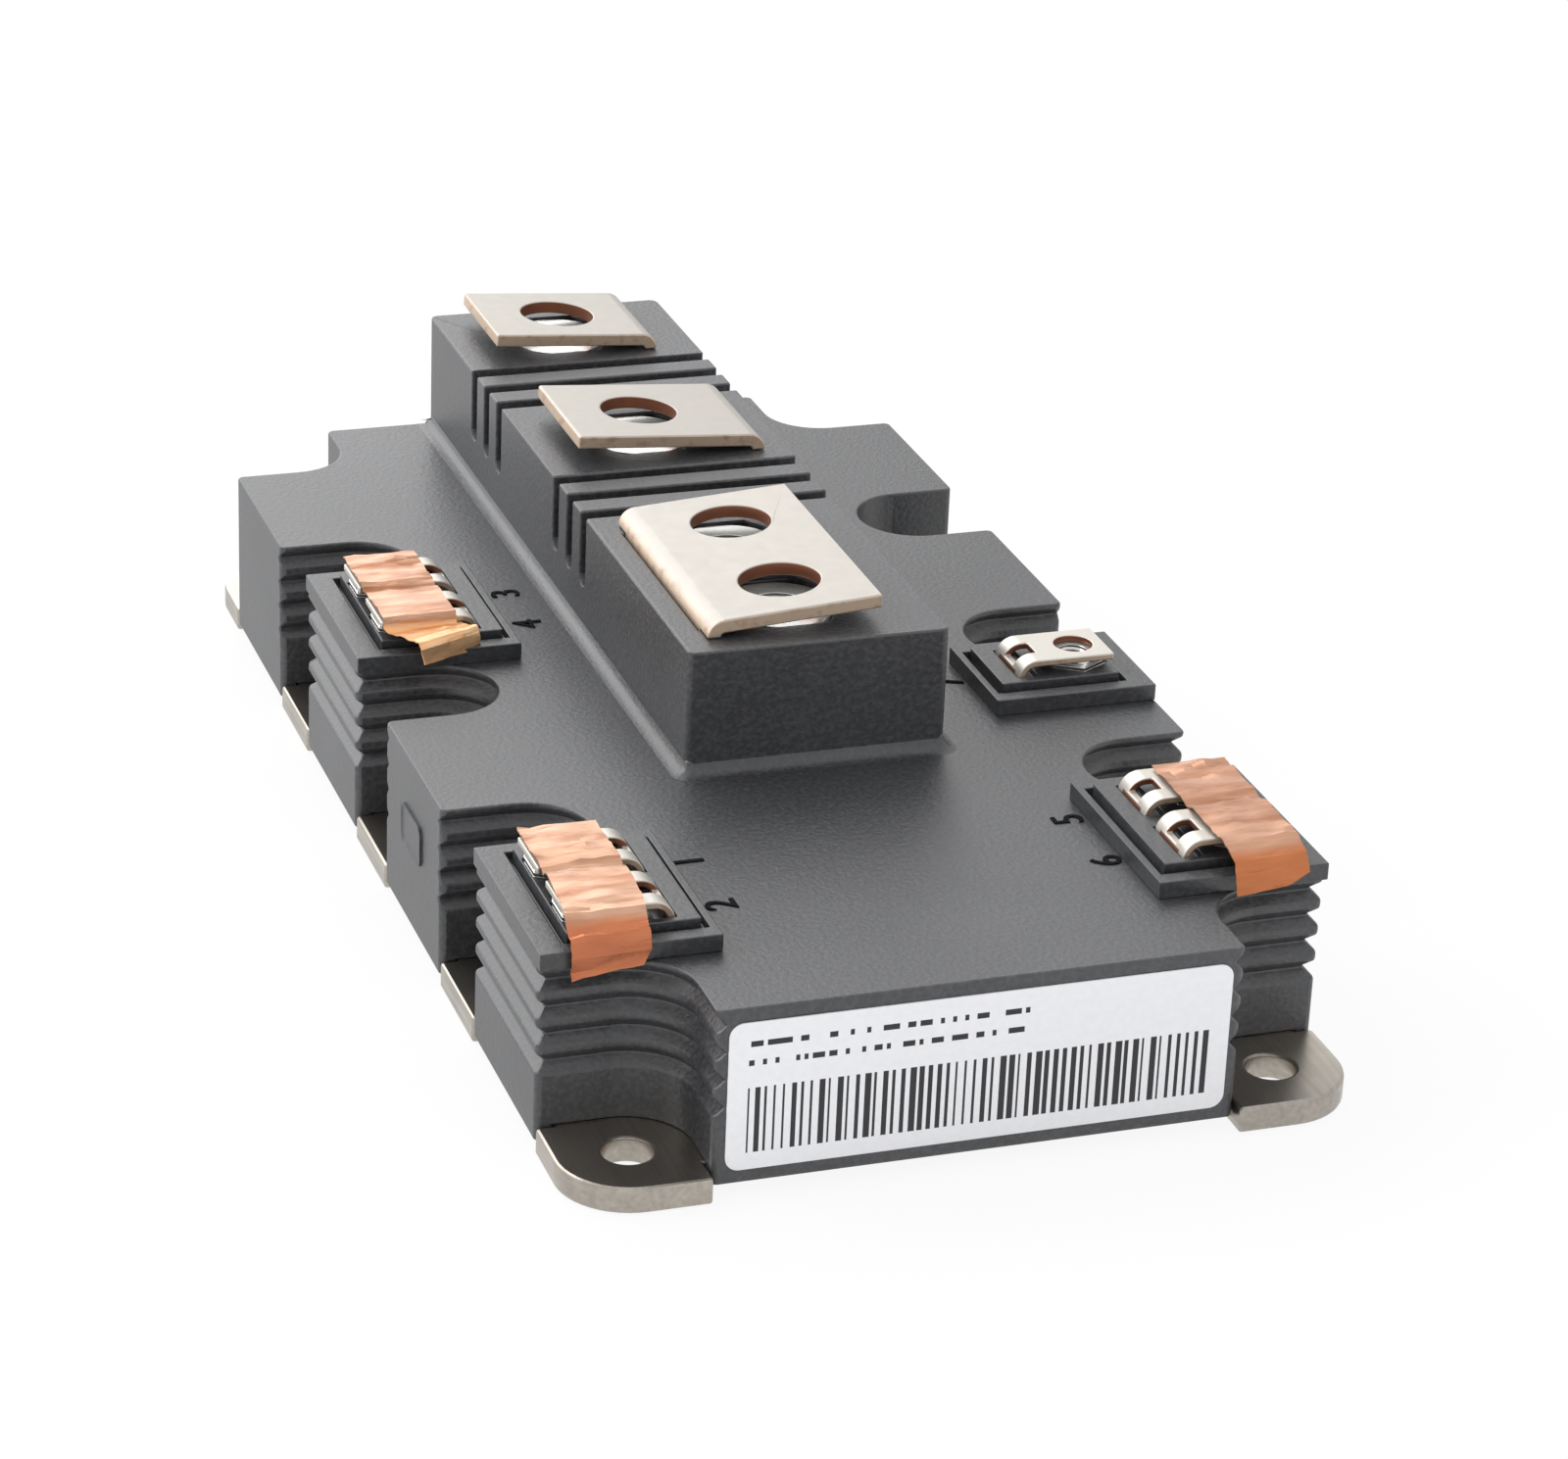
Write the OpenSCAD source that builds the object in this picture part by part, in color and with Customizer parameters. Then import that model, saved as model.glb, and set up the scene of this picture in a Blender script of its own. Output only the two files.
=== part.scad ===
// Half-bridge power semiconductor module: a nickel-plated copper base plate with ten fixing
// holes, a ribbed plastic housing with a raised terminal tower, three bent busbar terminals
// over captive nuts, four auxiliary terminal carriers, and the soldered power circuit inside.
// X runs across the width, Y along the length with the label end at -Y, and Z points up.
// The origin is the centre of the underside of the base plate.

/* [Base plate] */
// Length of the base plate along Y
plate_l = 172; // [170:0.5:178]
// Width of the base plate along X
plate_w = 89; // [88:0.5:93]
// Thickness of the copper base plate
plate_t = 3; // [2.5:0.25:4]
// Radius of the four outer corners of the base plate
plate_corner_r = 8; // [5:0.5:8.5]
// Depth of the recesses in the long edges that the housing's side skirts fill
side_recess = 2; // [1.5:0.25:2.25]
// Pitch of the fixing holes along Y
hole_pitch = 39; // [38:0.5:39.5]
// Spacing of the two rows of fixing holes across X
hole_span = 73; // [71:0.5:73.5]
// Diameter of the fixing holes
hole_d = 5.5; // [4.5:0.25:6.5]

/* [Housing] */
// Distance from the end of the base plate to the end wall of the housing
end_setback = 1.6; // [1:0.2:2.4]
// Height of the deck above the underside of the base plate
deck_h = 21.6; // [20:0.2:24]
// Thickness of the outer walls
wall = 3; // [2.6:0.1:3.4]
// Thickness of the deck
roof_t = 2.6; // [2:0.2:3.4]
// Clear radius of the housing round each fixing hole
notch_r = 7.1; // [6.5:0.1:7.5]
// Radius of the upright outer edges of the housing
edge_r = 0.8; // [0.4:0.1:1.5]
// Clearance between the underside of the skirts and the mounting surface
skirt_lift = 1.2; // [0.4:0.1:1.6]
// Clearance between the skirts and the edges of the base plate
skirt_gap = 0.15; // [0.1:0.05:0.3]

/* [Creepage ribs] */
// Number of horizontal grooves in the walls of the auxiliary blocks and their notches
rib_grooves = 4; // [3:1:4]
// Upright pitch of the grooves
rib_pitch = 3.2; // [2.8:0.1:3.3]
// Depth of the grooves
rib_depth = 1.2; // [0.8:0.1:1.3]
// Height of the centre of the top groove below the deck
rib_top_drop = 1.7; // [1.6:0.1:2.2]

/* [Tower] */
// Width of the terminal tower across X
tower_w = 31; // [30:0.5:34]
// Length of the tower along Y
tower_l = 114; // [113:0.5:117]
// Height of the top of the tower above the deck
tower_h = 15; // [14:0.5:17]
// Thickness of the tower's walls
tower_wall = 2; // [1.6:0.1:2]
// Radius of the tower's upright edges
tower_edge_r = 1; // [0.4:0.1:2]
// Height of the step along the foot of the tower
foot_h = 0.5; // [0.3:0.1:1.5]
// Width of the step along the foot of the tower
foot_w = 0.5; // [0.3:0.1:1.5]
// Grooves across the tower in each group
tower_grooves = 3; // [2:1:3]
// Pitch of the tower's grooves
groove_pitch = 5.8; // [5:0.2:6]
// Width of the tower's grooves
groove_w = 2.3; // [1.8:0.1:2.6]
// Depth of the tower's grooves from its top
groove_top_d = 3; // [2:0.2:3.6]
// Depth of the tower's grooves in its sides
groove_side_d = 1.3; // [0.8:0.1:1.4]
// Height of the closed lower ends of the grooves above the deck
groove_foot = 6; // [5:0.2:8]

/* [Power terminals] */
// Thickness of the busbar terminals
bar_t = 1.6; // [1.2:0.1:2]
// Inner radius of the fold at the top of each terminal
bar_fold_r = 0.5; // [0.4:0.1:1]
// Angle by which the free end of each terminal stands up
bar_tilt = 4; // [3:0.5:5]
// Clear height between the tower's top and the fold of a terminal
bar_lift = 0.1; // [0.1:0.1:0.8]
// Diameter of the screw holes in the power terminals
bar_hole_d = 9.4; // [8.5:0.1:10]
// Place of the line of power screw holes across X
bar_line_x = -1.2; // [-2:0.1:0]
// Width of the output terminal across X
ac_w = 20.8; // [20:0.2:22]
// Length of the output terminal along Y
ac_l = 35; // [33:0.5:37]
// Distance from the centre of the output terminal to the first direct-current terminal
ac_pitch = 46.2; // [46:0.2:47]
// Distance between the two screw holes of the output terminal
ac_hole_pitch = 18; // [17:0.5:20]
// Distance of the output terminal's screw holes from its folded edge
ac_fold_d = 11.2; // [10.8:0.2:12]
// Distance between the two direct-current terminals
dc_pitch = 36.6; // [36:0.2:37]
// Width of the first direct-current terminal across X
dc1_w = 24; // [22:0.5:24.5]
// Length of the first direct-current terminal along Y
dc1_l = 18.4; // [17:0.2:19]
// Distance of the second direct-current terminal's centre from the end wall
dc_end_d = 10.4; // [10:0.2:11]
// Width of the second direct-current terminal across X
dc2_w = 21.6; // [20:0.2:22]
// Length of the second direct-current terminal along Y
dc2_l = 16.6; // [15.5:0.1:17]
// Distance of the direct-current screw holes from the free edge of their terminals
dc_free_d = 10.4; // [9.5:0.1:11]
// Distance of the legs from the ends of the tops of the power terminals
leg_inset = 3; // [2.6:0.2:4]
// Length of the soldered feet of the power terminals
bar_foot_l = 4; // [3:0.5:5]

/* [Power nuts] */
// Width across the flats of the power nuts
nut8_af = 13; // [12.5:0.1:13.5]
// Height of the power nuts
nut8_h = 6.5; // [6:0.1:6.8]
// Bore of the power nuts
nut8_bore = 6.8; // [6.4:0.1:8]
// Clearance round each nut in its pocket
nut_gap = 0.15; // [0.1:0.05:0.25]
// Depth of the top of a power nut below the tower's top
nut_sink = 0.3; // [0.1:0.1:0.6]
// Clear depth under each power nut for the end of its screw
screw_room = 3; // [2:0.5:4]

/* [Auxiliary terminals] */
// Width of the carriers across X
carrier_w = 19.9; // [19.5:0.1:20.5]
// Length of the two-terminal carriers along Y
carrier_l = 26.2; // [25.8:0.1:27]
// Length of the one-terminal carrier along Y
single_l = 16.2; // [15.5:0.1:17]
// Height of the carriers' rim above the deck
rim_h = 2; // [1.6:0.1:2.6]
// Height of the raised island above the rim
island_h = 0.8; // [0.4:0.1:1.2]
// Width of the rim on the outer side
rim_outer = 2.9; // [2.6:0.1:3]
// Width of the rim on the tower's side
rim_inner = 0.9; // [0.7:0.1:1.2]
// Width of the rim on the two ends
rim_end = 2; // [1.6:0.1:2.4]
// Width of the channel round the island
channel_w = 0.7; // [0.5:0.1:1]
// Depth of the channel round the island below the rim
channel_d = 1; // [0.6:0.1:1.4]
// Distance between the two terminals of a carrier
aux_pitch = 10.8; // [10.4:0.1:11.2]
// Width of an auxiliary terminal along Y
aux_w = 7.8; // [7:0.1:8.2]
// Thickness of an auxiliary terminal
aux_t = 0.8; // [0.6:0.1:1]
// Height of an auxiliary terminal's underside above the island
aux_lift = 1; // [0.8:0.1:1.2]
// Distance of the outer end of an auxiliary terminal from the outer face of the housing
aux_end_d = 3.8; // [3.6:0.1:4.2]
// Length of an auxiliary terminal's top across X
aux_l = 12; // [11.5:0.1:12.4]
// Inner radius of the bend of an auxiliary terminal
aux_bend_r = 1.6; // [1.2:0.1:1.8]
// Distance of an auxiliary screw hole from the terminal's outer end
aux_hole_end = 3.7; // [3.6:0.1:4.2]
// Diameter of the auxiliary screw holes
aux_hole_d = 4.6; // [4.2:0.1:5]
// Side of the square window punched through the bend
aux_window = 2.8; // [2.2:0.1:3.2]
// Width of the leads below the auxiliary terminals
lead_w = 4; // [3:0.2:5]
// Overlap of the soldered feet of the auxiliary leads with their track
lead_land = 1.2; // [0.8:0.1:1.2]
// Width across the flats of the auxiliary nuts
nut4_af = 7; // [6.8:0.1:7.2]
// Height of the auxiliary nuts
nut4_h = 3.2; // [2.8:0.1:3.4]
// Bore of the auxiliary nuts
nut4_bore = 3.3; // [3:0.1:4]
// Clearance between a carrier's plug and the opening in the deck
plug_gap = 0.15; // [0.1:0.05:0.3]

/* [Shorting foils] */
// Width of the copper foils that short the auxiliary terminals in transit
foil_w = 8.6; // [8:0.1:9]
// Thickness of the foils
foil_t = 0.3; // [0.2:0.05:0.4]
// Distance of a foil's outer edge from the outer ends of its terminals
foil_edge = 0.4; // [0.2:0.1:1]
// Drop of the foil's hanging tail
foil_drop = 3.6; // [3:0.2:4]

/* [Label] */
// Width of the paper label
label_w = 56; // [50:1:56]
// Height of the paper label
label_h = 17.2; // [15:0.2:18]
// Thickness of the paper label
label_t = 0.2; // [0.1:0.05:0.3]
// Corner radius of the paper label
label_r = 1.6; // [1:0.1:3]
// Height of the middle of the label
label_z = 11.4; // [11:0.1:12]

/* [Power circuit] */
// Clearance between the outermost substrates and the bead of glue
sub_clear = 0.4; // [0.2:0.1:1]
// Gap between neighbouring substrates
sub_gap = 3; // [2.5:0.25:3.5]
// Thickness of the ceramic
ceramic_t = 0.6; // [0.4:0.1:1]
// Thickness of the copper tracks bonded to the ceramic
track_t = 0.3; // [0.2:0.05:0.4]
// Margin of bare ceramic round the tracks
track_margin = 1; // [0.8:0.1:1.4]
// Gap between two tracks
track_gap = 1; // [0.8:0.1:1.4]
// Side of a square transistor chip
igbt_side = 8.4; // [7:0.2:8.4]
// Side of a square diode chip
diode_side = 6.4; // [5:0.2:8]
// Thickness of the chips
chip_t = 0.25; // [0.2:0.05:0.4]
// Gap between the chips on a track
chip_gap = 1.2; // [1:0.1:1.4]
// Distance of the chips from the inner edge of their track
chip_edge = 0.2; // [0.1:0.1:0.3]
// Length of the thermistor
thermistor_l = 3.2; // [2:0.2:4]
// Width of the thermistor
thermistor_w = 1.6; // [1:0.2:2]
// Height of the thermistor
thermistor_h = 1.1; // [0.6:0.1:1.6]
// Thickness of the bead of glue inside the foot of the walls
bead_w = 1.2; // [0.8:0.1:1.4]
// Height of the bead of glue
bead_h = 1.4; // [1:0.1:2]
// Height of the silicone gel above the base plate
gel_h = 5; // [4:0.5:6]

/* [Hidden] */

hole_x = hole_span / 2;
half_w = plate_w / 2;
plate_end = plate_l / 2;
wall_end = plate_end - end_setback;         // outer face of the end walls
end_wall_x = hole_x - notch_r;              // half width of the end walls
block_half = hole_pitch / 2 - notch_r;      // half length of a block between two notches
tower_top = deck_h + tower_h;
tower_x = tower_w / 2;
tower_front = tower_l - wall_end;           // distance of the tower's front face from the origin
dc2_y = wall_end - dc_end_d;
dc1_y = dc2_y - dc_pitch;
ac_y = dc1_y - ac_pitch;
skirt_t = side_recess - skirt_gap;          // thickness of the skirts
deck_under = deck_h - roof_t;
past = 1;                                   // how far a cutter runs past the face it opens
reach = plate_w;                            // long enough to run out of the part

track_z = plate_t + ceramic_t;
circuit_z = track_z + track_t;              // top of the copper tracks
sub_w = hole_x - notch_r - wall - bead_w - sub_clear - sub_gap / 2;
sub_l = (2 * (wall_end - wall - bead_w - sub_clear) - 2 * sub_gap) / 3;
track_w = (sub_w - 2 * track_margin - track_gap) / 2;
inner_track_x = sub_gap / 2 + track_margin;
outer_track_x = inner_track_x + track_w + track_gap;
track_l = sub_l - 2 * track_margin;

nut8_z = tower_top - nut_sink - nut8_h;     // floor of the power nut pockets
screw_floor = nut8_z - screw_room;
ac_fold_x = bar_line_x - ac_fold_d;
dc_free_x = bar_line_x - dc_free_d;
power_holes = [
    [bar_line_x, ac_y - ac_hole_pitch / 2], [bar_line_x, ac_y + ac_hole_pitch / 2],
    [bar_line_x, dc1_y], [bar_line_x, dc2_y]
];
groove_sets = [
    (ac_y + ac_l / 2 + dc1_y - dc1_l / 2) / 2,
    (dc1_y + dc1_l / 2 + dc2_y - dc2_l / 2) / 2
];

carrier_x = half_w - carrier_w;             // tower side of the carriers
island_z = deck_h + rim_h + island_h;
aux_under = island_z + aux_lift;            // underside of the auxiliary terminals
aux_top = aux_under + aux_t;
aux_end_x = half_w - aux_end_d;
aux_leg_x = aux_end_x - aux_l;
aux_hole_x = aux_end_x - aux_hole_end;
nut4_top_gap = 0.1;
nut4_z = aux_under - nut4_top_gap - nut4_h; // floor of the auxiliary nut pockets
plug_x = carrier_x + rim_inner + channel_w; // tower side of the carriers' plugs
plug_outer = half_w - wall;
front_y = -1.5 * hole_pitch;                // centre of the front pair of carriers
rear_y = 0.5 * hole_pitch;                  // centre of the rear carrier
single_y = -notch_r + (carrier_l - 2 * block_half) / 2 - single_l / 2;

// side (-1 left, 1 right) and place along Y of each auxiliary terminal
aux_places = [
    [-1, front_y + aux_pitch / 2], [-1, front_y - aux_pitch / 2],
    [1, front_y + aux_pitch / 2], [1, front_y - aux_pitch / 2],
    [-1, rear_y + aux_pitch / 2], [-1, rear_y - aux_pitch / 2],
    [1, single_y]
];

smooth = 48;                                // segments of the round holes and bends

// ---- outlines ----

// Puts a copy on each side of the centre plane
module both_sides() {
    for (side = [0, 1]) mirror([side, 0, 0]) children();
}

// Clear space round a fixing hole in a long side, open towards +X
module side_notch(r) {
    circle(r = r, $fn = smooth);
    translate([0, -r]) square([reach, 2 * r]);
}

// Clear space round a fixing hole in a corner, open towards +X and +Y
module corner_notch(r) {
    circle(r = r, $fn = smooth);
    translate([-r, 0]) square([reach, reach]);
    translate([0, -r]) square([reach, reach]);
}

module notches(r) {
    both_sides() {
        for (row = [-1:1]) translate([hole_x, row * hole_pitch]) side_notch(r);
        for (end = [0, 1]) mirror([0, end]) translate([hole_x, 2 * hole_pitch]) corner_notch(r);
    }
}

// Waste outside a round edge whose sharp corner is at the origin, with the body at -X and -Y
module edge_waste(r) {
    difference() {
        translate([-r, -r]) square([r + past, r + past]);
        translate([-r, -r]) circle(r = r, $fn = smooth);
    }
}

module housing_edges() {
    both_sides() for (end = [0, 1]) mirror([0, end]) {
        translate([end_wall_x, wall_end]) edge_waste(edge_r);
        for (block = [0, 1]) {
            translate([half_w, (block + 1) * hole_pitch - notch_r]) edge_waste(edge_r);
            translate([half_w, block * hole_pitch + notch_r]) mirror([0, 1]) edge_waste(edge_r);
        }
    }
}

// Outline of the housing, drawn in by the given distance
module footprint(inset) {
    difference() {
        square([2 * (half_w - inset), 2 * (wall_end - inset)], center = true);
        notches(notch_r + inset);
        if (inset == 0) housing_edges();
    }
}

// Strips at the plate's edge that the skirts take up, grown by a gap and run out past the edge
module skirt_strips(gap, out) {
    both_sides() for (end = [0, 1]) mirror([0, end]) {
        for (block = [0, 1])
            translate([half_w - skirt_t - gap, block * hole_pitch + notch_r - gap])
                square([skirt_t + gap + out, 2 * (block_half + gap)]);
        translate([-past, wall_end - skirt_t - gap])
            square([end_wall_x + gap + past, skirt_t + gap + out]);
    }
}

module hexagon(across) {
    circle(d = across / cos(30), $fn = 6);
}

// ---- base plate and housing ----

module base_plate() {
    color("silver") linear_extrude(plate_t) difference() {
        square([plate_w, plate_l], center = true);
        both_sides() for (end = [0, 1]) mirror([0, end])
            translate([half_w, plate_end]) edge_waste(plate_corner_r);
        skirt_strips(skirt_gap, end_setback + past);
        both_sides() for (row = [-2:2])
            translate([hole_x, row * hole_pitch]) circle(d = hole_d, $fn = smooth);
    }
}

// Section of the creepage grooves: depth along +X, height along +Y
module rib_comb() {
    for (i = [0 : rib_grooves - 1])
        translate([0, deck_h - rib_top_drop - i * rib_pitch])
            polygon([[-past / 4, rib_depth + past / 4], [rib_depth, 0], [-past / 4, -rib_depth - past / 4]]);
}

// Grooves along a straight stretch of wall: the wall's face is at X = 0 and the body at +X
module straight_ribs(length) {
    translate([0, length, 0]) rotate([90, 0, 0]) linear_extrude(length) rib_comb();
}

// Grooves round a notch whose hole is at the origin
module round_ribs() {
    rotate_extrude($fn = smooth) translate([notch_r, 0]) rib_comb();
}

module side_notch_ribs() {
    round_ribs();
    for (turn = [0, 1]) mirror([0, turn, 0])
        translate([0, notch_r, 0]) rotate(90) mirror([0, 1, 0]) straight_ribs(half_w - hole_x + past);
}

// The corner at +X, +Y: along the block's end and along the side of the end wall
module corner_notch_ribs() {
    round_ribs();
    translate([0, -notch_r, 0]) mirror([0, 1, 0]) rotate(90) mirror([0, 1, 0])
        straight_ribs(half_w - hole_x + past);
    translate([-notch_r, 0, 0]) mirror([1, 0, 0]) straight_ribs(wall_end - 2 * hole_pitch + past);
}

// Grooves in the outer face of a block, from one notch to the next
module block_face_ribs() {
    translate([half_w, -block_half - past / 2, 0]) mirror([1, 0, 0])
        straight_ribs(2 * block_half + past);
}

module creepage_ribs() {
    both_sides() {
        for (row = [-1, 0]) translate([hole_x, row * hole_pitch, 0]) side_notch_ribs();
        translate([hole_x, -2 * hole_pitch, 0]) mirror([0, 1, 0]) corner_notch_ribs();
        translate([0, front_y, 0]) block_face_ribs();
    }
    mirror([1, 0, 0]) {
        translate([hole_x, hole_pitch, 0]) side_notch_ribs();
        translate([0, rear_y, 0]) block_face_ribs();
    }
    translate([0, -hole_pitch / 2, 0]) block_face_ribs();
}

// Outline of the tower, grown by the width of its foot
module tower_outline(grow) {
    difference() {
        translate([-tower_x - grow, -tower_front - grow])
            square([2 * (tower_x + grow), tower_l + grow]);
        both_sides() {
            translate([tower_x + grow, -tower_front - grow]) mirror([0, 1]) edge_waste(tower_edge_r);
            if (grow == 0) translate([tower_x, wall_end]) edge_waste(tower_edge_r);
        }
    }
}

// One groove over the top of the tower and down both its sides, with round lower ends
module tower_groove() {
    translate([0, 0, tower_top - groove_top_d / 2 + past / 2])
        cube([tower_w + 2 * past, groove_w, groove_top_d + past], center = true);
    both_sides() translate([tower_x - groove_side_d, 0, 0]) rotate([90, 0, 90])
        linear_extrude(groove_side_d + past) {
            translate([0, deck_h + groove_foot + groove_w / 2]) circle(d = groove_w, $fn = smooth);
            translate([-groove_w / 2, deck_h + groove_foot + groove_w / 2])
                square([groove_w, tower_h]);
        }
}

module power_nut_pocket() {
    translate([0, 0, nut8_z]) linear_extrude(reach) hexagon(nut8_af + 2 * nut_gap);
    translate([0, 0, screw_floor])
        cylinder(d = nut8_bore + 2 * nut_gap + past, h = screw_room + past, $fn = smooth);
}

// Way for a power terminal's leg through the top of the tower
module leg_slot(fold_x, side, y, length) {
    translate([fold_x + side * bar_t / 2, y, tower_top - tower_h / 2 + past / 2])
        cube([bar_t + 2 * nut_gap, length - 2 * leg_inset + 2 * nut_gap, tower_h + past], center = true);
}

// Way for a carrier's plug through the deck
module carrier_opening(y, length) {
    translate([plug_x, y - length / 2, deck_under - past])
        cube([plug_outer - plug_x, length, roof_t + 2 * past]);
}

function plug_l(length) = length - carrier_l + 2 * (block_half - wall);

module housing() {
    color("dimgray") difference() {
        union() {
            translate([0, 0, plate_t]) linear_extrude(deck_h - plate_t) footprint(0);
            translate([0, 0, skirt_lift]) linear_extrude(plate_t - skirt_lift) intersection() {
                skirt_strips(0, 0);
                footprint(0);
            }
            translate([0, 0, deck_under]) linear_extrude(roof_t + tower_h) tower_outline(0);
            translate([0, 0, deck_under]) linear_extrude(roof_t + foot_h) tower_outline(foot_w);
        }
        translate([0, 0, -past]) linear_extrude(deck_under + past) footprint(wall);
        translate([-tower_x + tower_wall, -tower_front + tower_wall, deck_under - past])
            cube([tower_w - 2 * tower_wall, tower_l - 2 * wall, screw_floor - tower_wall - deck_under + past]);
        creepage_ribs();
        for (middle = groove_sets, i = [0 : tower_grooves - 1])
            translate([0, middle + (i - (tower_grooves - 1) / 2) * groove_pitch, 0]) tower_groove();
        for (place = power_holes) translate(place) power_nut_pocket();
        leg_slot(ac_fold_x, 1, ac_y, ac_l);
        leg_slot(dc_free_x + dc1_w, -1, dc1_y, dc1_l);
        leg_slot(dc_free_x + dc2_w, -1, dc2_y, dc2_l);
        both_sides() carrier_opening(front_y, plug_l(carrier_l));
        mirror([1, 0, 0]) carrier_opening(rear_y, plug_l(carrier_l));
        carrier_opening(single_y, plug_l(single_l));
    }
}

// ---- bent metal strips ----

// Side view of a strip that rises at X = 0, folds over towards +X and may stand up at its free end
module folded_top(span, t, fold_r, tilt, under_z) {
    bend = [t + fold_r, under_z - fold_r];
    run = (span - t - fold_r) / cos(tilt);
    translate(bend) {
        rotate(tilt) translate([0, fold_r]) square([run, t]);
        intersection() {
            difference() {
                circle(r = fold_r + t, $fn = smooth);
                circle(r = fold_r, $fn = smooth);
            }
            polygon([[0, 0], 3 * t * [-sin(tilt), cos(tilt)], [-reach, reach], [-reach, 0]]);
        }
    }
}

// Side view of the leg below the fold, with a foot towards +X or -X
module leg_and_foot(t, top_z, foot_l, foot_side) {
    translate([0, circuit_z]) square([t, top_z - circuit_z]);
    translate([foot_side > 0 ? 0 : t - foot_l, circuit_z]) square([foot_l, t]);
}

module upright(width) {
    rotate([90, 0, 0]) linear_extrude(width, center = true) children();
}

module power_terminal(fold_x, side, y, span, length, hole_ys) {
    under_z = tower_top + bar_lift + bar_fold_r;
    color("gainsboro") difference() {
        translate([fold_x, y, 0]) mirror([side > 0 ? 0 : 1, 0, 0]) {
            upright(length) folded_top(span, bar_t, bar_fold_r, bar_tilt, under_z);
            upright(length - 2 * leg_inset)
                leg_and_foot(bar_t, under_z - bar_fold_r, bar_t + bar_foot_l, 1);
        }
        for (hole_y = hole_ys) translate([bar_line_x, hole_y, tower_top])
            cylinder(d = bar_hole_d, h = reach, $fn = smooth);
    }
}

module ac_terminal() {
    power_terminal(ac_fold_x, 1, ac_y, ac_w, ac_l,
        [ac_y - ac_hole_pitch / 2, ac_y + ac_hole_pitch / 2]);
}

module dc_plus_terminal() {
    power_terminal(dc_free_x + dc1_w, -1, dc1_y, dc1_w, dc1_l, [dc1_y]);
}

module dc_minus_terminal() {
    power_terminal(dc_free_x + dc2_w, -1, dc2_y, dc2_w, dc2_l, [dc2_y]);
}

// Hexagon nut with both faces chamfered
module nut(across, height, bore) {
    point_r = across / 2 / cos(30);
    chamfer = point_r - across / 2;
    color("lightsteelblue") difference() {
        intersection() {
            linear_extrude(height) hexagon(across);
            rotate_extrude($fn = smooth) polygon([
                [0, 0], [across / 2, 0], [point_r, chamfer / 2],
                [point_r, height - chamfer / 2], [across / 2, height], [0, height]
            ]);
        }
        translate([0, 0, -past]) cylinder(d = bore, h = height + 2 * past, $fn = smooth);
    }
}

module power_nut(index) {
    translate([power_holes[index][0], power_holes[index][1], nut8_z]) nut(nut8_af, nut8_h, nut8_bore);
}

// ---- auxiliary terminals ----

// Carrier on the right-hand side, centred at Y = 0, with terminals at the given places
module carrier_body(length, terminal_ys) {
    inside_l = length - 2 * rim_end;
    inside_w = carrier_w - rim_outer - rim_inner;
    color("dimgray") difference() {
        union() {
            translate([carrier_x, -length / 2, deck_h]) cube([carrier_w, length, rim_h]);
            translate([carrier_x + rim_inner + channel_w, -inside_l / 2 + channel_w, deck_h])
                cube([inside_w - 2 * channel_w, inside_l - 2 * channel_w, rim_h + island_h]);
            translate([plug_x + plug_gap, plug_gap - plug_l(length) / 2, deck_under])
                cube([plug_outer - plug_x - 2 * plug_gap, plug_l(length) - 2 * plug_gap, roof_t]);
        }
        difference() {
            translate([carrier_x + rim_inner, -inside_l / 2, deck_h + rim_h - channel_d])
                cube([inside_w, inside_l, channel_d + past]);
            translate([carrier_x + rim_inner + channel_w, -inside_l / 2 + channel_w, deck_h])
                cube([inside_w - 2 * channel_w, inside_l - 2 * channel_w, reach]);
        }
        for (y = terminal_ys) translate([0, y, 0]) {
            translate([aux_hole_x, 0, nut4_z]) linear_extrude(reach) rotate(30) hexagon(nut4_af + 2 * nut_gap);
            translate([aux_hole_x, 0, deck_h - roof_t / 2])
                cylinder(d = nut4_bore + past, h = roof_t, $fn = smooth);
            translate([aux_leg_x - plug_gap, -lead_w / 2 - plug_gap, deck_under - past])
                cube([aux_t + 2 * plug_gap, lead_w + 2 * plug_gap, reach]);
            translate([aux_leg_x - plug_gap, -aux_w / 2 - plug_gap, aux_under - aux_bend_r - plug_gap])
                cube([aux_t + aux_bend_r + plug_gap, aux_w + 2 * plug_gap, reach]);
        }
    }
}

module pair_carrier(side, y) {
    translate([0, y, 0]) mirror([side > 0 ? 0 : 1, 0, 0])
        carrier_body(carrier_l, [-aux_pitch / 2, aux_pitch / 2]);
}

module carrier_single() {
    translate([0, single_y, 0]) carrier_body(single_l, [0]);
}

module aux_terminal(index) {
    side = aux_places[index][0];
    foot_l = aux_leg_x + aux_t - (outer_track_x + track_w - lead_land);
    color("gainsboro") translate([0, aux_places[index][1], 0]) mirror([side > 0 ? 0 : 1, 0, 0])
        difference() {
            translate([aux_leg_x, 0, 0]) {
                upright(aux_w) folded_top(aux_l, aux_t, aux_bend_r, 0, aux_under);
                upright(lead_w) leg_and_foot(aux_t, aux_under - aux_bend_r, foot_l, -1);
            }
            translate([aux_hole_x, 0, aux_under - past])
                cylinder(d = aux_hole_d, h = aux_t + 2 * past, $fn = smooth);
            translate([aux_leg_x + aux_t + aux_bend_r / 2, 0, aux_top])
                cube([aux_window, aux_window, aux_window], center = true);
        }
}

module aux_nut(index) {
    side = aux_places[index][0];
    translate([side * aux_hole_x, aux_places[index][1], nut4_z]) rotate(30)
        nut(nut4_af, nut4_h, nut4_bore);
}

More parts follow.
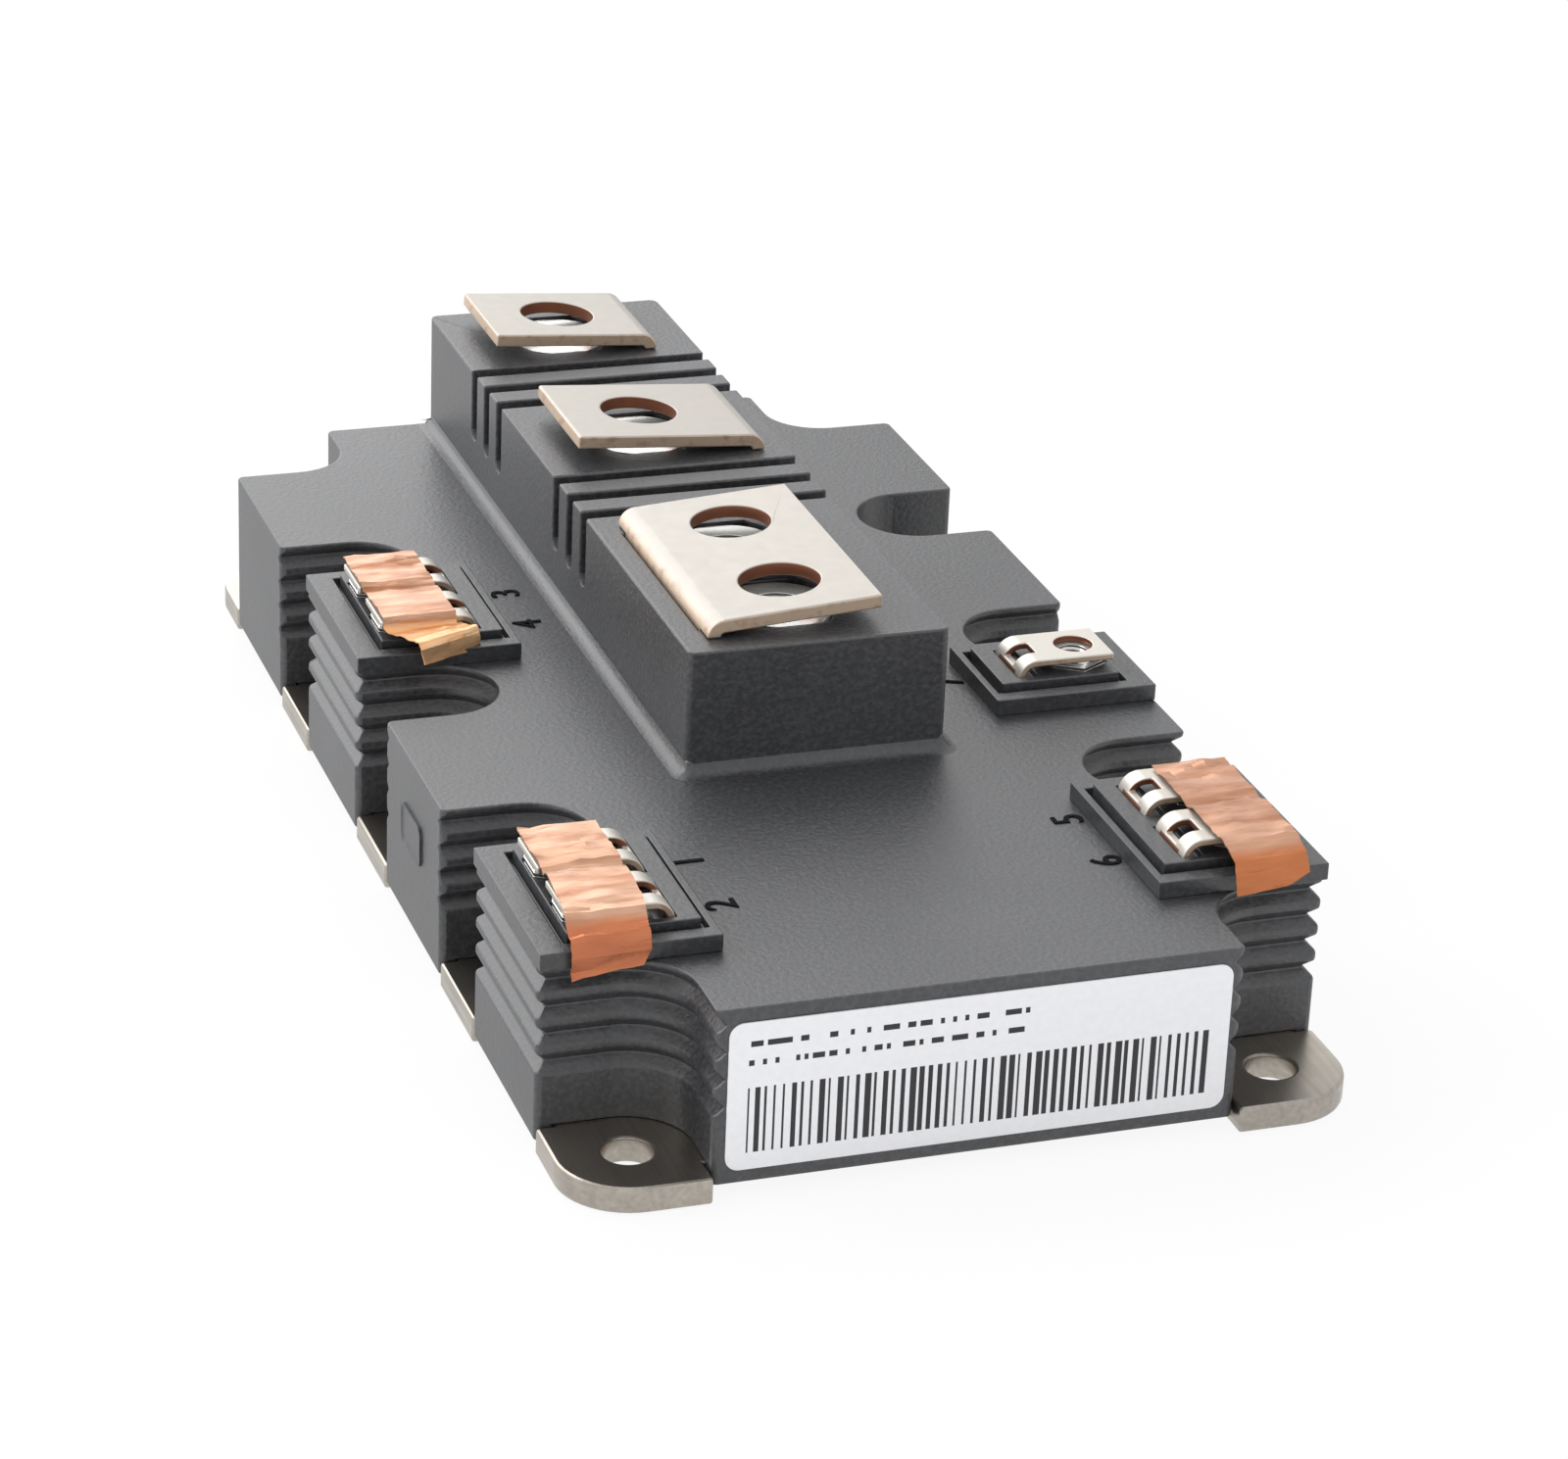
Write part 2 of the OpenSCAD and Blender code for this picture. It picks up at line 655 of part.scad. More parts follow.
// Side view of a foil: it lies over both terminals and its tail hangs down over the carrier's end
module foil_profile() {
    pair_end = (aux_pitch + aux_w) / 2;
    lip = carrier_l / 2;
    path = [
        [pair_end + foil_edge, aux_top], [-pair_end, aux_top],
        [-lip + foil_t, aux_top - aux_lift], [-lip - 2 * foil_t, aux_top - aux_lift - foil_t],
        [-lip - 3 * foil_t, aux_top - aux_lift - foil_drop]
    ];
    last = len(path) - 1;
    polygon(concat(
        [for (p = path) p],
        [[path[last][0] - foil_t, path[last][1]], [path[3][0] - foil_t, path[3][1] + foil_t / 2],
         [path[2][0], path[2][1] + foil_t], [path[1][0], path[1][1] + foil_t],
         [path[0][0], path[0][1] + foil_t]]
    ));
}

module foil(side, y) {
    outer_x = aux_end_x - foil_edge;
    color("peru") translate([0, y, 0]) mirror([side > 0 ? 0 : 1, 0, 0])
        translate([outer_x - foil_w, 0, 0]) rotate([90, 0, 90]) linear_extrude(foil_w) foil_profile();
}

module label() {
    color("white") translate([0, -wall_end, label_z]) rotate([90, 0, 0]) linear_extrude(label_t) difference() {
        square([label_w, label_h], center = true);
        for (flip_x = [0, 1], flip_z = [0, 1]) mirror([flip_x, 0]) mirror([0, flip_z])
            translate([label_w / 2, label_h / 2]) edge_waste(label_r);
    }
}

// ---- power circuit ----

// Puts a copy on each of the six substrates, with the module's centre line at X = 0
module on_substrate(index) {
    translate([0, (floor(index / 2) - 1) * (sub_l + sub_gap), 0]) mirror([index % 2, 0, 0]) children();
}

module substrate(index) {
    color("ivory") on_substrate(index) translate([sub_gap / 2, -sub_l / 2, plate_t])
        cube([sub_w, sub_l, ceramic_t]);
}

module copper_tracks() {
    color("chocolate") for (index = [0:5]) on_substrate(index)
        for (x = [inner_track_x, outer_track_x])
            translate([x, -track_l / 2, track_z]) cube([track_w, track_l, track_t]);
}

module chip(side, y) {
    translate([outer_track_x + chip_edge, y - side / 2, circuit_z]) cube([side, side, chip_t]);
}

chip_step = igbt_side + diode_side + 2 * chip_gap;

module igbt_chips() {
    color("slategray") for (index = [0:5], pair = [-1, 1]) on_substrate(index)
        chip(igbt_side, pair * chip_step / 2 - (diode_side + chip_gap) / 2);
}

module diode_chips() {
    color("lightslategray") for (index = [0:5], pair = [-1, 1]) on_substrate(index)
        chip(diode_side, pair * chip_step / 2 + (igbt_side + chip_gap) / 2);
}

module thermistor() {
    color("black") on_substrate(0)
        translate([inner_track_x + track_w / 2 - thermistor_w / 2, -thermistor_l / 2, circuit_z])
            cube([thermistor_w, thermistor_l, thermistor_h]);
}

module glue_bead() {
    color("whitesmoke") translate([0, 0, plate_t]) linear_extrude(bead_h) difference() {
        footprint(wall);
        footprint(wall + bead_w);
    }
}

// The gel fills the tray round everything that stands on the base plate
module silicone_gel() {
    color("lightcyan") difference() {
        translate([0, 0, plate_t]) linear_extrude(gel_h) footprint(wall);
        glue_bead();
        for (index = [0:5]) substrate(index);
        copper_tracks();
        igbt_chips();
        diode_chips();
        thermistor();
        ac_terminal();
        dc_plus_terminal();
        dc_minus_terminal();
        for (index = [0:6]) aux_terminal(index);
    }
}

base_plate();
housing();
ac_terminal();
dc_plus_terminal();
dc_minus_terminal();
power_nut(0);  // power_nut_1
power_nut(1);  // power_nut_2
power_nut(2);  // power_nut_3
power_nut(3);  // power_nut_4
pair_carrier(-1, front_y);  // carrier_front_left
pair_carrier(1, front_y);  // carrier_front_right
pair_carrier(-1, rear_y);  // carrier_rear_left
carrier_single();
aux_terminal(0);  // aux_terminal_1
aux_terminal(1);  // aux_terminal_2
aux_terminal(2);  // aux_terminal_3
aux_terminal(3);  // aux_terminal_4
aux_terminal(4);  // aux_terminal_5
aux_terminal(5);  // aux_terminal_6
aux_terminal(6);  // aux_terminal_7
aux_nut(0);  // aux_nut_1
aux_nut(1);  // aux_nut_2
aux_nut(2);  // aux_nut_3
aux_nut(3);  // aux_nut_4
aux_nut(4);  // aux_nut_5
aux_nut(5);  // aux_nut_6
aux_nut(6);  // aux_nut_7
foil(-1, front_y);  // foil_front_left
foil(1, front_y);  // foil_front_right
foil(-1, rear_y);  // foil_rear_left
label();
substrate(0);  // substrate_1
substrate(1);  // substrate_2
substrate(2);  // substrate_3
substrate(3);  // substrate_4
substrate(4);  // substrate_5
substrate(5);  // substrate_6
copper_tracks();
igbt_chips();
diode_chips();
thermistor();
glue_bead();
silicone_gel();
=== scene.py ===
# %% [markdown]
# # A power semiconductor module
#
# The module is a flat brick: a nickel-plated copper plate carries a moulded housing, and
# bent metal terminals come out of its top. Its construction was made in CAD, to size. This
# lesson gives it its looks: finishes for every CAD piece, and the few pieces that are
# easier to shape in Blender, such as the crumpled copper foils.
#
# The CAD model is loaded as a frame that stays where it is. Its box is kept.

import math

import bpy
from mathutils import Matrix, Vector


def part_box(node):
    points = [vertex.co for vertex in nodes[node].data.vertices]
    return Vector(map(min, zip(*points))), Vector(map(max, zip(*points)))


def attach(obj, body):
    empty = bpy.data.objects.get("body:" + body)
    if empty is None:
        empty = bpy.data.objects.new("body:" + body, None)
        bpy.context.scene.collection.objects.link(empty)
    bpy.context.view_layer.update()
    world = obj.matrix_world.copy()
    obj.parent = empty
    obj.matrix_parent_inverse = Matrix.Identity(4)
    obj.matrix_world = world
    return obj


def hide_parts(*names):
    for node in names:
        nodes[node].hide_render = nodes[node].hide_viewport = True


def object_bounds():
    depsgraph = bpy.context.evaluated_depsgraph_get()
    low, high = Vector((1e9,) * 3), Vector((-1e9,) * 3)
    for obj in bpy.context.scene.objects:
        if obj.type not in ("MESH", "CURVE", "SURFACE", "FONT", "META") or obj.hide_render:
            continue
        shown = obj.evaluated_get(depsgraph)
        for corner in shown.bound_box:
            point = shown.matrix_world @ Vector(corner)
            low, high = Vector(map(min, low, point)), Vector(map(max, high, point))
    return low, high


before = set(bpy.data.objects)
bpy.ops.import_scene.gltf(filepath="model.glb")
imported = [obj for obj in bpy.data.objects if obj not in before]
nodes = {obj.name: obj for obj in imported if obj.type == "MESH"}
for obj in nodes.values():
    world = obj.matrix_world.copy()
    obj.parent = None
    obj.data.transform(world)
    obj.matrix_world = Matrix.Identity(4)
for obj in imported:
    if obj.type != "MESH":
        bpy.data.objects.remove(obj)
cad_low, cad_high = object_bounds()
MM = 0.001
print("CAD nodes:", len(nodes), "size in mm:", [round(v / MM, 1) for v in cad_high - cad_low])

# %% [markdown]
# ## The camera
#
# The camera stands to the front left and looks down on the module. Its place, its lens and
# its three angles say everything. The angles are turned into three axes: `back` points from
# the object to the camera, and the two others lie in the picture, turned by a small roll.
# A rotation matrix made of those axes is easier to check than three chained rotations.

# %% Camera
CAMERA_PLACE = Vector((-0.16793, -0.49196, 0.24944))
CAMERA_AZIMUTH = math.radians(-19.516)
CAMERA_ELEVATION = math.radians(24.475)
CAMERA_ROLL = math.radians(2.434)
CAMERA_LENS = 109.707
CAMERA_SENSOR = 36


def camera_turn(azimuth, elevation, roll):
    """The camera's axes as the columns of a rotation matrix."""
    back = Vector((
        math.sin(azimuth) * math.cos(elevation),
        -math.cos(azimuth) * math.cos(elevation),
        math.sin(elevation),
    ))
    level = Vector((0, 0, 1)).cross(back).normalized()
    rise = back.cross(level)
    right = math.cos(roll) * level + math.sin(roll) * rise
    up = -math.sin(roll) * level + math.cos(roll) * rise
    return Matrix((right, up, back)).transposed().to_4x4()


camera_data = bpy.data.cameras.new("camera")
camera_data.lens = CAMERA_LENS
camera_data.sensor_width = CAMERA_SENSOR
camera = bpy.data.objects.new("camera", camera_data)
camera.matrix_world = (
    Matrix.Translation(CAMERA_PLACE)
    @ camera_turn(CAMERA_AZIMUTH, CAMERA_ELEVATION, CAMERA_ROLL)
)
bpy.context.scene.collection.objects.link(camera)
bpy.context.scene.camera = camera
bpy.context.scene.view_settings.view_transform = "Standard"
print("camera distance in mm:", round(CAMERA_PLACE.length / MM))

# %% [markdown]
# ## Small helpers for materials
#
# Colours are chosen as hex values on a screen, so they are sRGB. Shaders want linear light,
# and one function turns one into the other.
#
# A node tree is built by one helper as well: it adds a node, sets its properties and
# sockets, and links its inputs. The rest of the lesson can then be read as a list of what a
# surface does, not of how nodes are wired. Masks say where on a piece a finish applies: they
# are 1 there and 0 elsewhere, and masks multiplied with each other leave what they share.

# %% Colours
def colour(hex_value):
    """Linear RGBA of an sRGB hex colour such as #8e9295."""
    parts = [int(hex_value[i:i + 2], 16) / 255 for i in (1, 3, 5)]
    linear = [p / 12.92 if p <= 0.04045 else ((p + 0.055) / 1.055) ** 2.4 for p in parts]
    return (*linear, 1.0)


print("white is", [round(v, 3) for v in colour("#ffffff")])

# %% Node helpers
def feed(tree, node, links):
    """Links a source socket to each named input of a node."""
    for name, source in links.items():
        tree.links.new(source, node.inputs[name])


def add(tree, kind, settings=None, links=None):
    """Adds a node. A setting is a property or an input socket, and a link feeds an input."""
    made = tree.nodes.new("ShaderNode" + kind)
    for name, value in (settings or {}).items():
        if isinstance(name, str) and hasattr(made, name):
            setattr(made, name, value)
        else:
            made.inputs[name].default_value = value
    feed(tree, made, links or {})
    return made


def empty_tree(owner):
    """The cleared node tree of a material or a world."""
    owner.use_nodes = True
    owner.node_tree.nodes.clear()
    return owner.node_tree


def start_material(name, settings):
    """A new material with its main shader, and the object coordinates its patterns read."""
    material = bpy.data.materials.new(name)
    tree = empty_tree(material)
    shader = add(tree, "BsdfPrincipled", settings)
    add(tree, "OutputMaterial", links={"Surface": shader.outputs[0]})
    place = add(tree, "TexCoord").outputs["Object"]
    return material, tree, shader, place


# the sockets of a Mix node that mixes colours
MIX_FACTOR, MIX_A, MIX_B, MIX_RESULT = 0, 6, 7, 2
print("node helpers are ready")

# %% Sizes and masks
def per_mm(size):
    """Scale of a pattern whose grains are the given number of millimetres wide."""
    return 1 / (size * MM)


def all_of(tree, *masks):
    """Socket that is 1 only where every mask is."""
    share = masks[0]
    for mask in masks[1:]:
        share = add(tree, "Math", {"operation": "MULTIPLY"}, {0: share, 1: mask}).outputs[0]
    return share


def between(tree, value, low, high):
    """Socket that is 1 while the value lies between the two limits."""
    over = add(tree, "Math", {"operation": "GREATER_THAN", 1: low}, {0: value})
    under = add(tree, "Math", {"operation": "LESS_THAN", 1: high}, {0: value})
    return all_of(tree, over.outputs[0], under.outputs[0])


print("a grain of 0.5 mm has the scale", per_mm(0.5))

# %% [markdown]
# ## Floor and light
#
# The module stands on a plain white table, in an even white light. A soft lamp to the upper
# left, a little behind the module, favours its left faces and its deck. A much larger one
# further behind gives the deck its grazing sheen, and its size keeps that sheen even.
#
# The background is white because the world and the floor show white to the camera, to
# mirrors and to glass. Light on the object stays at a plain level, so colours render about
# as they are written. The floor lies a hair below the plate, so that their faces don't fight.

# %% Floor
FLOOR_SIZE = 8
FLOOR_DROP = 0.2
FLOOR_GLOW = 0.9
SEEN_RAYS = ("Is Camera Ray", "Is Glossy Ray", "Is Transmission Ray")


def seen_directly(tree):
    """Socket that is 1 where a surface is seen by the camera, in a mirror or through glass."""
    rays = add(tree, "LightPath")
    seen = rays.outputs[SEEN_RAYS[0]]
    for name in SEEN_RAYS[1:]:
        both = add(tree, "Math", {"operation": "MAXIMUM"}, {0: seen, 1: rays.outputs[name]})
        seen = both.outputs[0]
    return seen


def floor_material():
    """A matt white laminate that glows white where it is seen directly."""
    material = bpy.data.materials.new("white_table_laminate")
    tree = empty_tree(material)
    matt = add(tree, "BsdfDiffuse", {"Color": colour("#f4f4f4")})
    glow = add(tree, "Emission", {"Color": colour("#ffffff"), "Strength": 1.0})
    share = add(tree, "Math", {"operation": "MULTIPLY", 1: FLOOR_GLOW}, {0: seen_directly(tree)})
    both = add(tree, "MixShader", links={
        0: share.outputs[0], 1: matt.outputs[0], 2: glow.outputs[0]})
    add(tree, "OutputMaterial", links={"Surface": both.outputs[0]})
    return material


bpy.ops.object.select_all(action="DESELECT")
bpy.ops.mesh.primitive_plane_add(size=FLOOR_SIZE, location=(0, 0, -FLOOR_DROP * MM))
floor = bpy.context.object
floor.name = "floor"
floor.data.materials.append(floor_material())
print("floor:", FLOOR_SIZE, "m")

# %% Light
WORLD_LEVEL = 0.8
# place and size in metres, and power in watts
LAMPS = {
    "key_lamp": ((-1.15, 0.45, 0.8), 0.8, 8.5),
    "back_lamp": ((-0.45, 1.5, 0.85), 2.2, 27),
}


def light_world():
    """A world that lights at its own level and looks plain white."""
    world = bpy.data.worlds.new("studio")
    tree = empty_tree(world)
    fill = add(tree, "Background", {"Color": colour("#ffffff"), "Strength": WORLD_LEVEL})
    white = add(tree, "Background", {"Color": colour("#ffffff"), "Strength": 1.0})
    both = add(tree, "MixShader", links={
        0: seen_directly(tree), 1: fill.outputs[0], 2: white.outputs[0]})
    add(tree, "OutputWorld", links={"Surface": both.outputs[0]})
    bpy.context.scene.world = world


def soft_lamp(name, place, size, power):
    """A square lamp that faces the module."""
    data = bpy.data.lights.new(name, "AREA")
    data.size = size
    data.energy = power
    lamp = bpy.data.objects.new(name, data)
    facing = Vector(place).to_track_quat("Z", "Y").to_matrix().to_4x4()
    lamp.matrix_world = Matrix.Translation(place) @ facing
    bpy.context.scene.collection.objects.link(lamp)


light_world()
for lamp_name, lamp_values in LAMPS.items():
    soft_lamp(lamp_name, *lamp_values)
print("lamps:", list(LAMPS))

# %% [markdown]
# ## Glass-filled plastic
#
# The housing and the carriers are injection moulded from PBT with short glass fibres. The
# mould is eroded, which gives a fine matt grain, and the fibres near the skin make it look
# speckled. Both are noise at the size of the grain. A much larger noise makes the skin a
# little lighter and darker from place to place, as flow in the mould does.
#
# The plastic itself is nearly black. It looks grey where it is seen at a low angle, because
# a smooth skin mirrors more light there. So the colour stays dark, and a fairly low
# roughness with a strong specular level makes the deck and the side walls pale.

# %% Housing plastic
# the real grain is finer, and is drawn as coarse as it needs to show
GRAIN_WIDTH = 0.6
GRAIN_DEPTH = 0.1
SPECK_SHARE = 0.6
FLOW_WIDTH = 30
FLOW_SHARE = 0.4


def moulded_plastic(name, base, lighter):
    """A speckled matt skin between two close greys."""
    material, tree, shader, place = start_material(
        name, {"IOR": 1.55, "Specular IOR Level": 0.75})
    grain = add(tree, "TexNoise", {"Scale": per_mm(GRAIN_WIDTH), "Detail": 4.0},
                {"Vector": place})
    flow = add(tree, "TexNoise", {"Scale": per_mm(FLOW_WIDTH), "Detail": 2.0},
               {"Vector": place})
    speck = add(tree, "MapRange", {"From Min": 0.42, "From Max": 0.68},
                {"Value": grain.outputs[0]})
    cloud = add(tree, "MapRange", {"From Min": 0.3, "From Max": 0.7},
                {"Value": flow.outputs[0]})
    specks = add(tree, "Math", {"operation": "MULTIPLY", 1: SPECK_SHARE},
                 {0: speck.outputs[0]})
    share = add(tree, "Math", {"operation": "MULTIPLY_ADD", 1: FLOW_SHARE},
                {0: cloud.outputs[0], 2: specks.outputs[0]})
    skin = add(tree, "Mix", {"data_type": "RGBA", MIX_A: colour(base), MIX_B: colour(lighter)},
               {MIX_FACTOR: share.outputs[0]})
    matt = add(tree, "MapRange", {"To Min": 0.34, "To Max": 0.5}, {"Value": grain.outputs[0]})
    pits = add(tree, "Bump", {"Strength": 0.7, "Distance": GRAIN_DEPTH * MM},
               {"Height": grain.outputs[0]})
    feed(tree, shader, {
        "Base Color": skin.outputs[MIX_RESULT],
        "Roughness": matt.outputs[0],
        "Normal": pits.outputs[0],
    })
    return material


housing_plastic = moulded_plastic("glass_filled_pbt_moulded", "#27282b", "#47484b")
carrier_plastic = moulded_plastic("glass_filled_pbt_carrier", "#242528", "#404144")
print("plastics:", housing_plastic.name, carrier_plastic.name)

# %% [markdown]
# ## Nickel-plated copper
#
# The base plate is a copper sheet, punched, then plated with nickel without a current. Such
# a coat is satin, warmer than steel and slightly clouded, with fine rolling lines that show
# through from the copper. The lines are a noise that is stretched along the rolling
# direction, and they turn the roughness up and down as well as the colour.

# %% Nickel plate
FINE_RELIEF = 0.02
# real rolling lines are finer, and are drawn as coarse as they need to show
ROLLING_LINE = 0.6
ROLLING_STRETCH = (1.0, 0.04, 1.0)
COAT_CLOUD = 9


def rolled_nickel():
    """A satin coat with clouds, over lines that run along the module."""
    material, tree, shader, place = start_material(
        "nickel_plated_copper_satin", {"Metallic": 1.0})
    stretched = add(tree, "Mapping", {"Scale": ROLLING_STRETCH}, {"Vector": place})
    lines = add(tree, "TexNoise", {"Scale": per_mm(ROLLING_LINE), "Detail": 4.0},
                {"Vector": stretched.outputs[0]})
    cloud = add(tree, "TexNoise", {"Scale": per_mm(COAT_CLOUD), "Detail": 3.0},
                {"Vector": place})
    warm = add(tree, "MapRange", {"From Min": 0.35, "From Max": 0.65},
               {"Value": cloud.outputs[0]})
    coat = add(tree, "Mix",
               {"data_type": "RGBA", MIX_A: colour("#aaa49c"), MIX_B: colour("#bcb4a9")},
               {MIX_FACTOR: warm.outputs[0]})
    fine = add(tree, "MapRange", {"From Min": 0.3, "From Max": 0.7, "To Max": 0.3},
               {"Value": lines.outputs[0]})
    streak = add(tree, "Mix", {"data_type": "RGBA", MIX_B: colour("#6a645f")},
                 {MIX_FACTOR: fine.outputs[0], MIX_A: coat.outputs[MIX_RESULT]})
    satin = add(tree, "MapRange", {"To Min": 0.22, "To Max": 0.4}, {"Value": lines.outputs[0]})
    relief = add(tree, "Bump", {"Strength": 0.2, "Distance": FINE_RELIEF * MM},
                 {"Height": lines.outputs[0]})
    feed(tree, shader, {
        "Base Color": streak.outputs[MIX_RESULT],
        "Roughness": satin.outputs[0],
        "Normal": relief.outputs[0],
    })
    return material


nickel_plate = rolled_nickel()
print("plate finish:", nickel_plate.name)

# %% [markdown]
# ## Plated terminals with bare cut edges
#
# The terminals are stamped from copper strip and plated. Their broad faces are bright and
# warm white. The punch drags the plating over the cut edges, so these are cream with
# patches of copper, and the walls of the punched holes are bare brown copper.
#
# Masks share the surface out. The strip lies flat or stands upright across X, so its cut
# edges are the faces that point along Y. The walls of the holes are the faces that look
# sideways inside the punched field: a box round the holes, at the height of the strip's top.
# The bends of the power terminals are rubbed to the tone of an edge, and the faces of the
# small terminals that look down are painted brown, as shade. The plating is satin tin, so a
# part of it scatters light as paint would.

# %% Terminal masks
ABOVE_ALL = 1.0


def punched_field(tree, place, top_low, x, y, half_x, half_y):
    """Socket that is 1 in a box round the middle (x, y) and above the height top_low."""
    spot = add(tree, "SeparateXYZ", links={0: place})
    return all_of(
        tree,
        between(tree, spot.outputs["X"], x - half_x, x + half_x),
        between(tree, spot.outputs["Y"], y - half_y, y + half_y),
        between(tree, spot.outputs["Z"], top_low, ABOVE_ALL),
    )


def bare_walls_and_painted_shade(tree, facing, field, inside):
    """Socket that is 1 on the walls of the holes, and inside (0 to 1) where a face looks down, as
    painted shade.
    """
    level = add(tree, "Math", {"operation": "ABSOLUTE"}, {0: facing.outputs["Z"]})
    side = add(tree, "MapRange", {"From Min": 0.5, "From Max": 0.25}, {"Value": level.outputs[0]})
    wall = all_of(tree, field, side.outputs[0])
    # faces that look down get the brown, up to inside, as painted shade
    under = add(tree, "MapRange", {"From Min": -0.05, "From Max": -0.3, "To Max": inside},
                {"Value": facing.outputs["Z"]})
    return add(tree, "Math", {"operation": "MAXIMUM"}, {0: wall, 1: under.outputs[0]}).outputs[0]


def worn_edges(tree, facing, field, worn_bend):
    """Socket that is 1 on cut edges and worn_bend (0 to 1) on bends, outside the field."""
    across = add(tree, "Math", {"operation": "ABSOLUTE"}, {0: facing.outputs["Y"]})
    end = add(tree, "MapRange", {"From Min": 0.93, "From Max": 0.985},
              {"Value": across.outputs[0]})
    level = add(tree, "Math", {"operation": "ABSOLUTE"}, {0: facing.outputs["Z"]})
    bend = add(tree, "MapRange", {"From Min": 0.75, "From Max": 0.35, "To Max": worn_bend},
               {"Value": level.outputs[0]})
    edge = add(tree, "Math", {"operation": "MAXIMUM"}, {0: end.outputs[0], 1: bend.outputs[0]})
    outside = add(tree, "Math", {"operation": "SUBTRACT", 0: 1.0}, {1: field})
    return all_of(tree, edge.outputs[0], outside.outputs[0])


print("terminal masks: field, walls, edges")

# %% Terminal metal
# bare copper in the holes and on cut edges, and painted shade under the small terminals
HOLE_BROWN_AND_UNDERSIDE_SHADE = "#8a5a43"
EDGE_CREAM = "#cdb7a0"
SMEAR_WIDTH = 1.6
SMEAR_RELIEF = 0.03


def stamped_terminal(name, plating, top_low, punched, inside, worn_bend):
    """Plated strip, bare in the holes of the field punched = (x, y, half x, half y)."""
    material, tree, shader, place = start_material(name, {"Metallic": 0.7})
    normal = add(tree, "TexCoord").outputs["Normal"]
    facing = add(tree, "SeparateXYZ", links={0: normal})
    field = punched_field(tree, place, top_low, *punched)
    wall = bare_walls_and_painted_shade(tree, facing, field, inside)
    end = worn_edges(tree, facing, field, worn_bend)
    smear = add(tree, "TexNoise", {"Scale": per_mm(SMEAR_WIDTH), "Detail": 4.0},
                {"Vector": place})
    patch = add(tree, "MapRange", {"From Min": 0.52, "From Max": 0.66, "To Max": 0.4},
                {"Value": smear.outputs[0]})
    edge = add(tree, "Mix",
               {"data_type": "RGBA", MIX_A: colour(EDGE_CREAM), MIX_B: colour(HOLE_BROWN_AND_UNDERSIDE_SHADE)},
               {MIX_FACTOR: patch.outputs[0]})
    # brown on the hole walls, and painted shade where a small terminal's face looks down
    skin = add(tree, "Mix",
               {"data_type": "RGBA", MIX_A: colour(plating), MIX_B: colour(HOLE_BROWN_AND_UNDERSIDE_SHADE)},
               {MIX_FACTOR: wall})
    face = add(tree, "Mix", {"data_type": "RGBA"}, {
        MIX_FACTOR: end, MIX_A: skin.outputs[MIX_RESULT], MIX_B: edge.outputs[MIX_RESULT]})
    satin = add(tree, "MapRange", {"To Min": 0.36, "To Max": 0.56}, {"Value": smear.outputs[0]})
    relief = add(tree, "Bump", {"Strength": 0.15, "Distance": SMEAR_RELIEF * MM},
                 {"Height": smear.outputs[0]})
    feed(tree, shader, {
        "Base Color": face.outputs[MIX_RESULT],
        "Roughness": satin.outputs[0],
        "Normal": relief.outputs[0],
    })
    return material


print("terminal tones:", EDGE_CREAM, HOLE_BROWN_AND_UNDERSIDE_SHADE)

# %% Terminal finishes
POWER_TIN = "#b2ada6"
AUX_TIN = "#cdc8c0"
POWER_BEND_WEAR = 0.9
# how much of the small terminals' faces that look down is painted brown as shade
AUX_UNDERSIDE_SHADE = 1.0
# half sizes of the punched fields across and along the module, in mm
POWER_FIELDS = {
    "ac_terminal": (5.0, 14.0),
    "dc_plus_terminal": (5.0, 5.0),
    "dc_minus_terminal": (5.0, 5.0),
}
AUX_FIELD = (5.6, 2.6)
AUX_FIELD_SHIFT = 3.0
AUX_TOP_BAND = 2.0
AUX_COUNT = 7


def middle_of(node_name):
    """The middle of a CAD node's box."""
    low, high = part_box(node_name)
    return (low + high) / 2


terminal_metals = {}
tower_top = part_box("power_nut_1")[1].z
hole_line_x = middle_of("power_nut_1").x
for name, (half_x, half_y) in POWER_FIELDS.items():
    terminal_metals[name] = stamped_terminal(
        "plated_copper_strip_" + name, POWER_TIN, tower_top,
        (hole_line_x, middle_of(name).y, half_x * MM, half_y * MM), 0.0, POWER_BEND_WEAR)
half_x, half_y = AUX_FIELD
for number in range(1, AUX_COUNT + 1):
    name = f"aux_terminal_{number}"
    nut_middle = middle_of(f"aux_nut_{number}")
    window_side = math.copysign(AUX_FIELD_SHIFT * MM, -nut_middle.x)
    terminal_metals[name] = stamped_terminal(
        "plated_copper_strip_" + name, AUX_TIN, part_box(name)[1].z - AUX_TOP_BAND * MM,
        (nut_middle.x + window_side, nut_middle.y, half_x * MM, half_y * MM),
        AUX_UNDERSIDE_SHADE, 0.0)
print("terminal finishes:", len(terminal_metals))

# %% [markdown]
# ## Nuts
#
# The nuts are cold-formed steel with a zinc coat, and their thread is rolled into the bore.
# The thread isn't cut in the CAD solid. A wave along Z, with the pitch of the thread,
# is bumped into the surface instead: inside a hole this small it reads as a thread.

# %% Nut steel
NUT_MOTTLE = 0.8
THREAD_DEPTH = 0.4


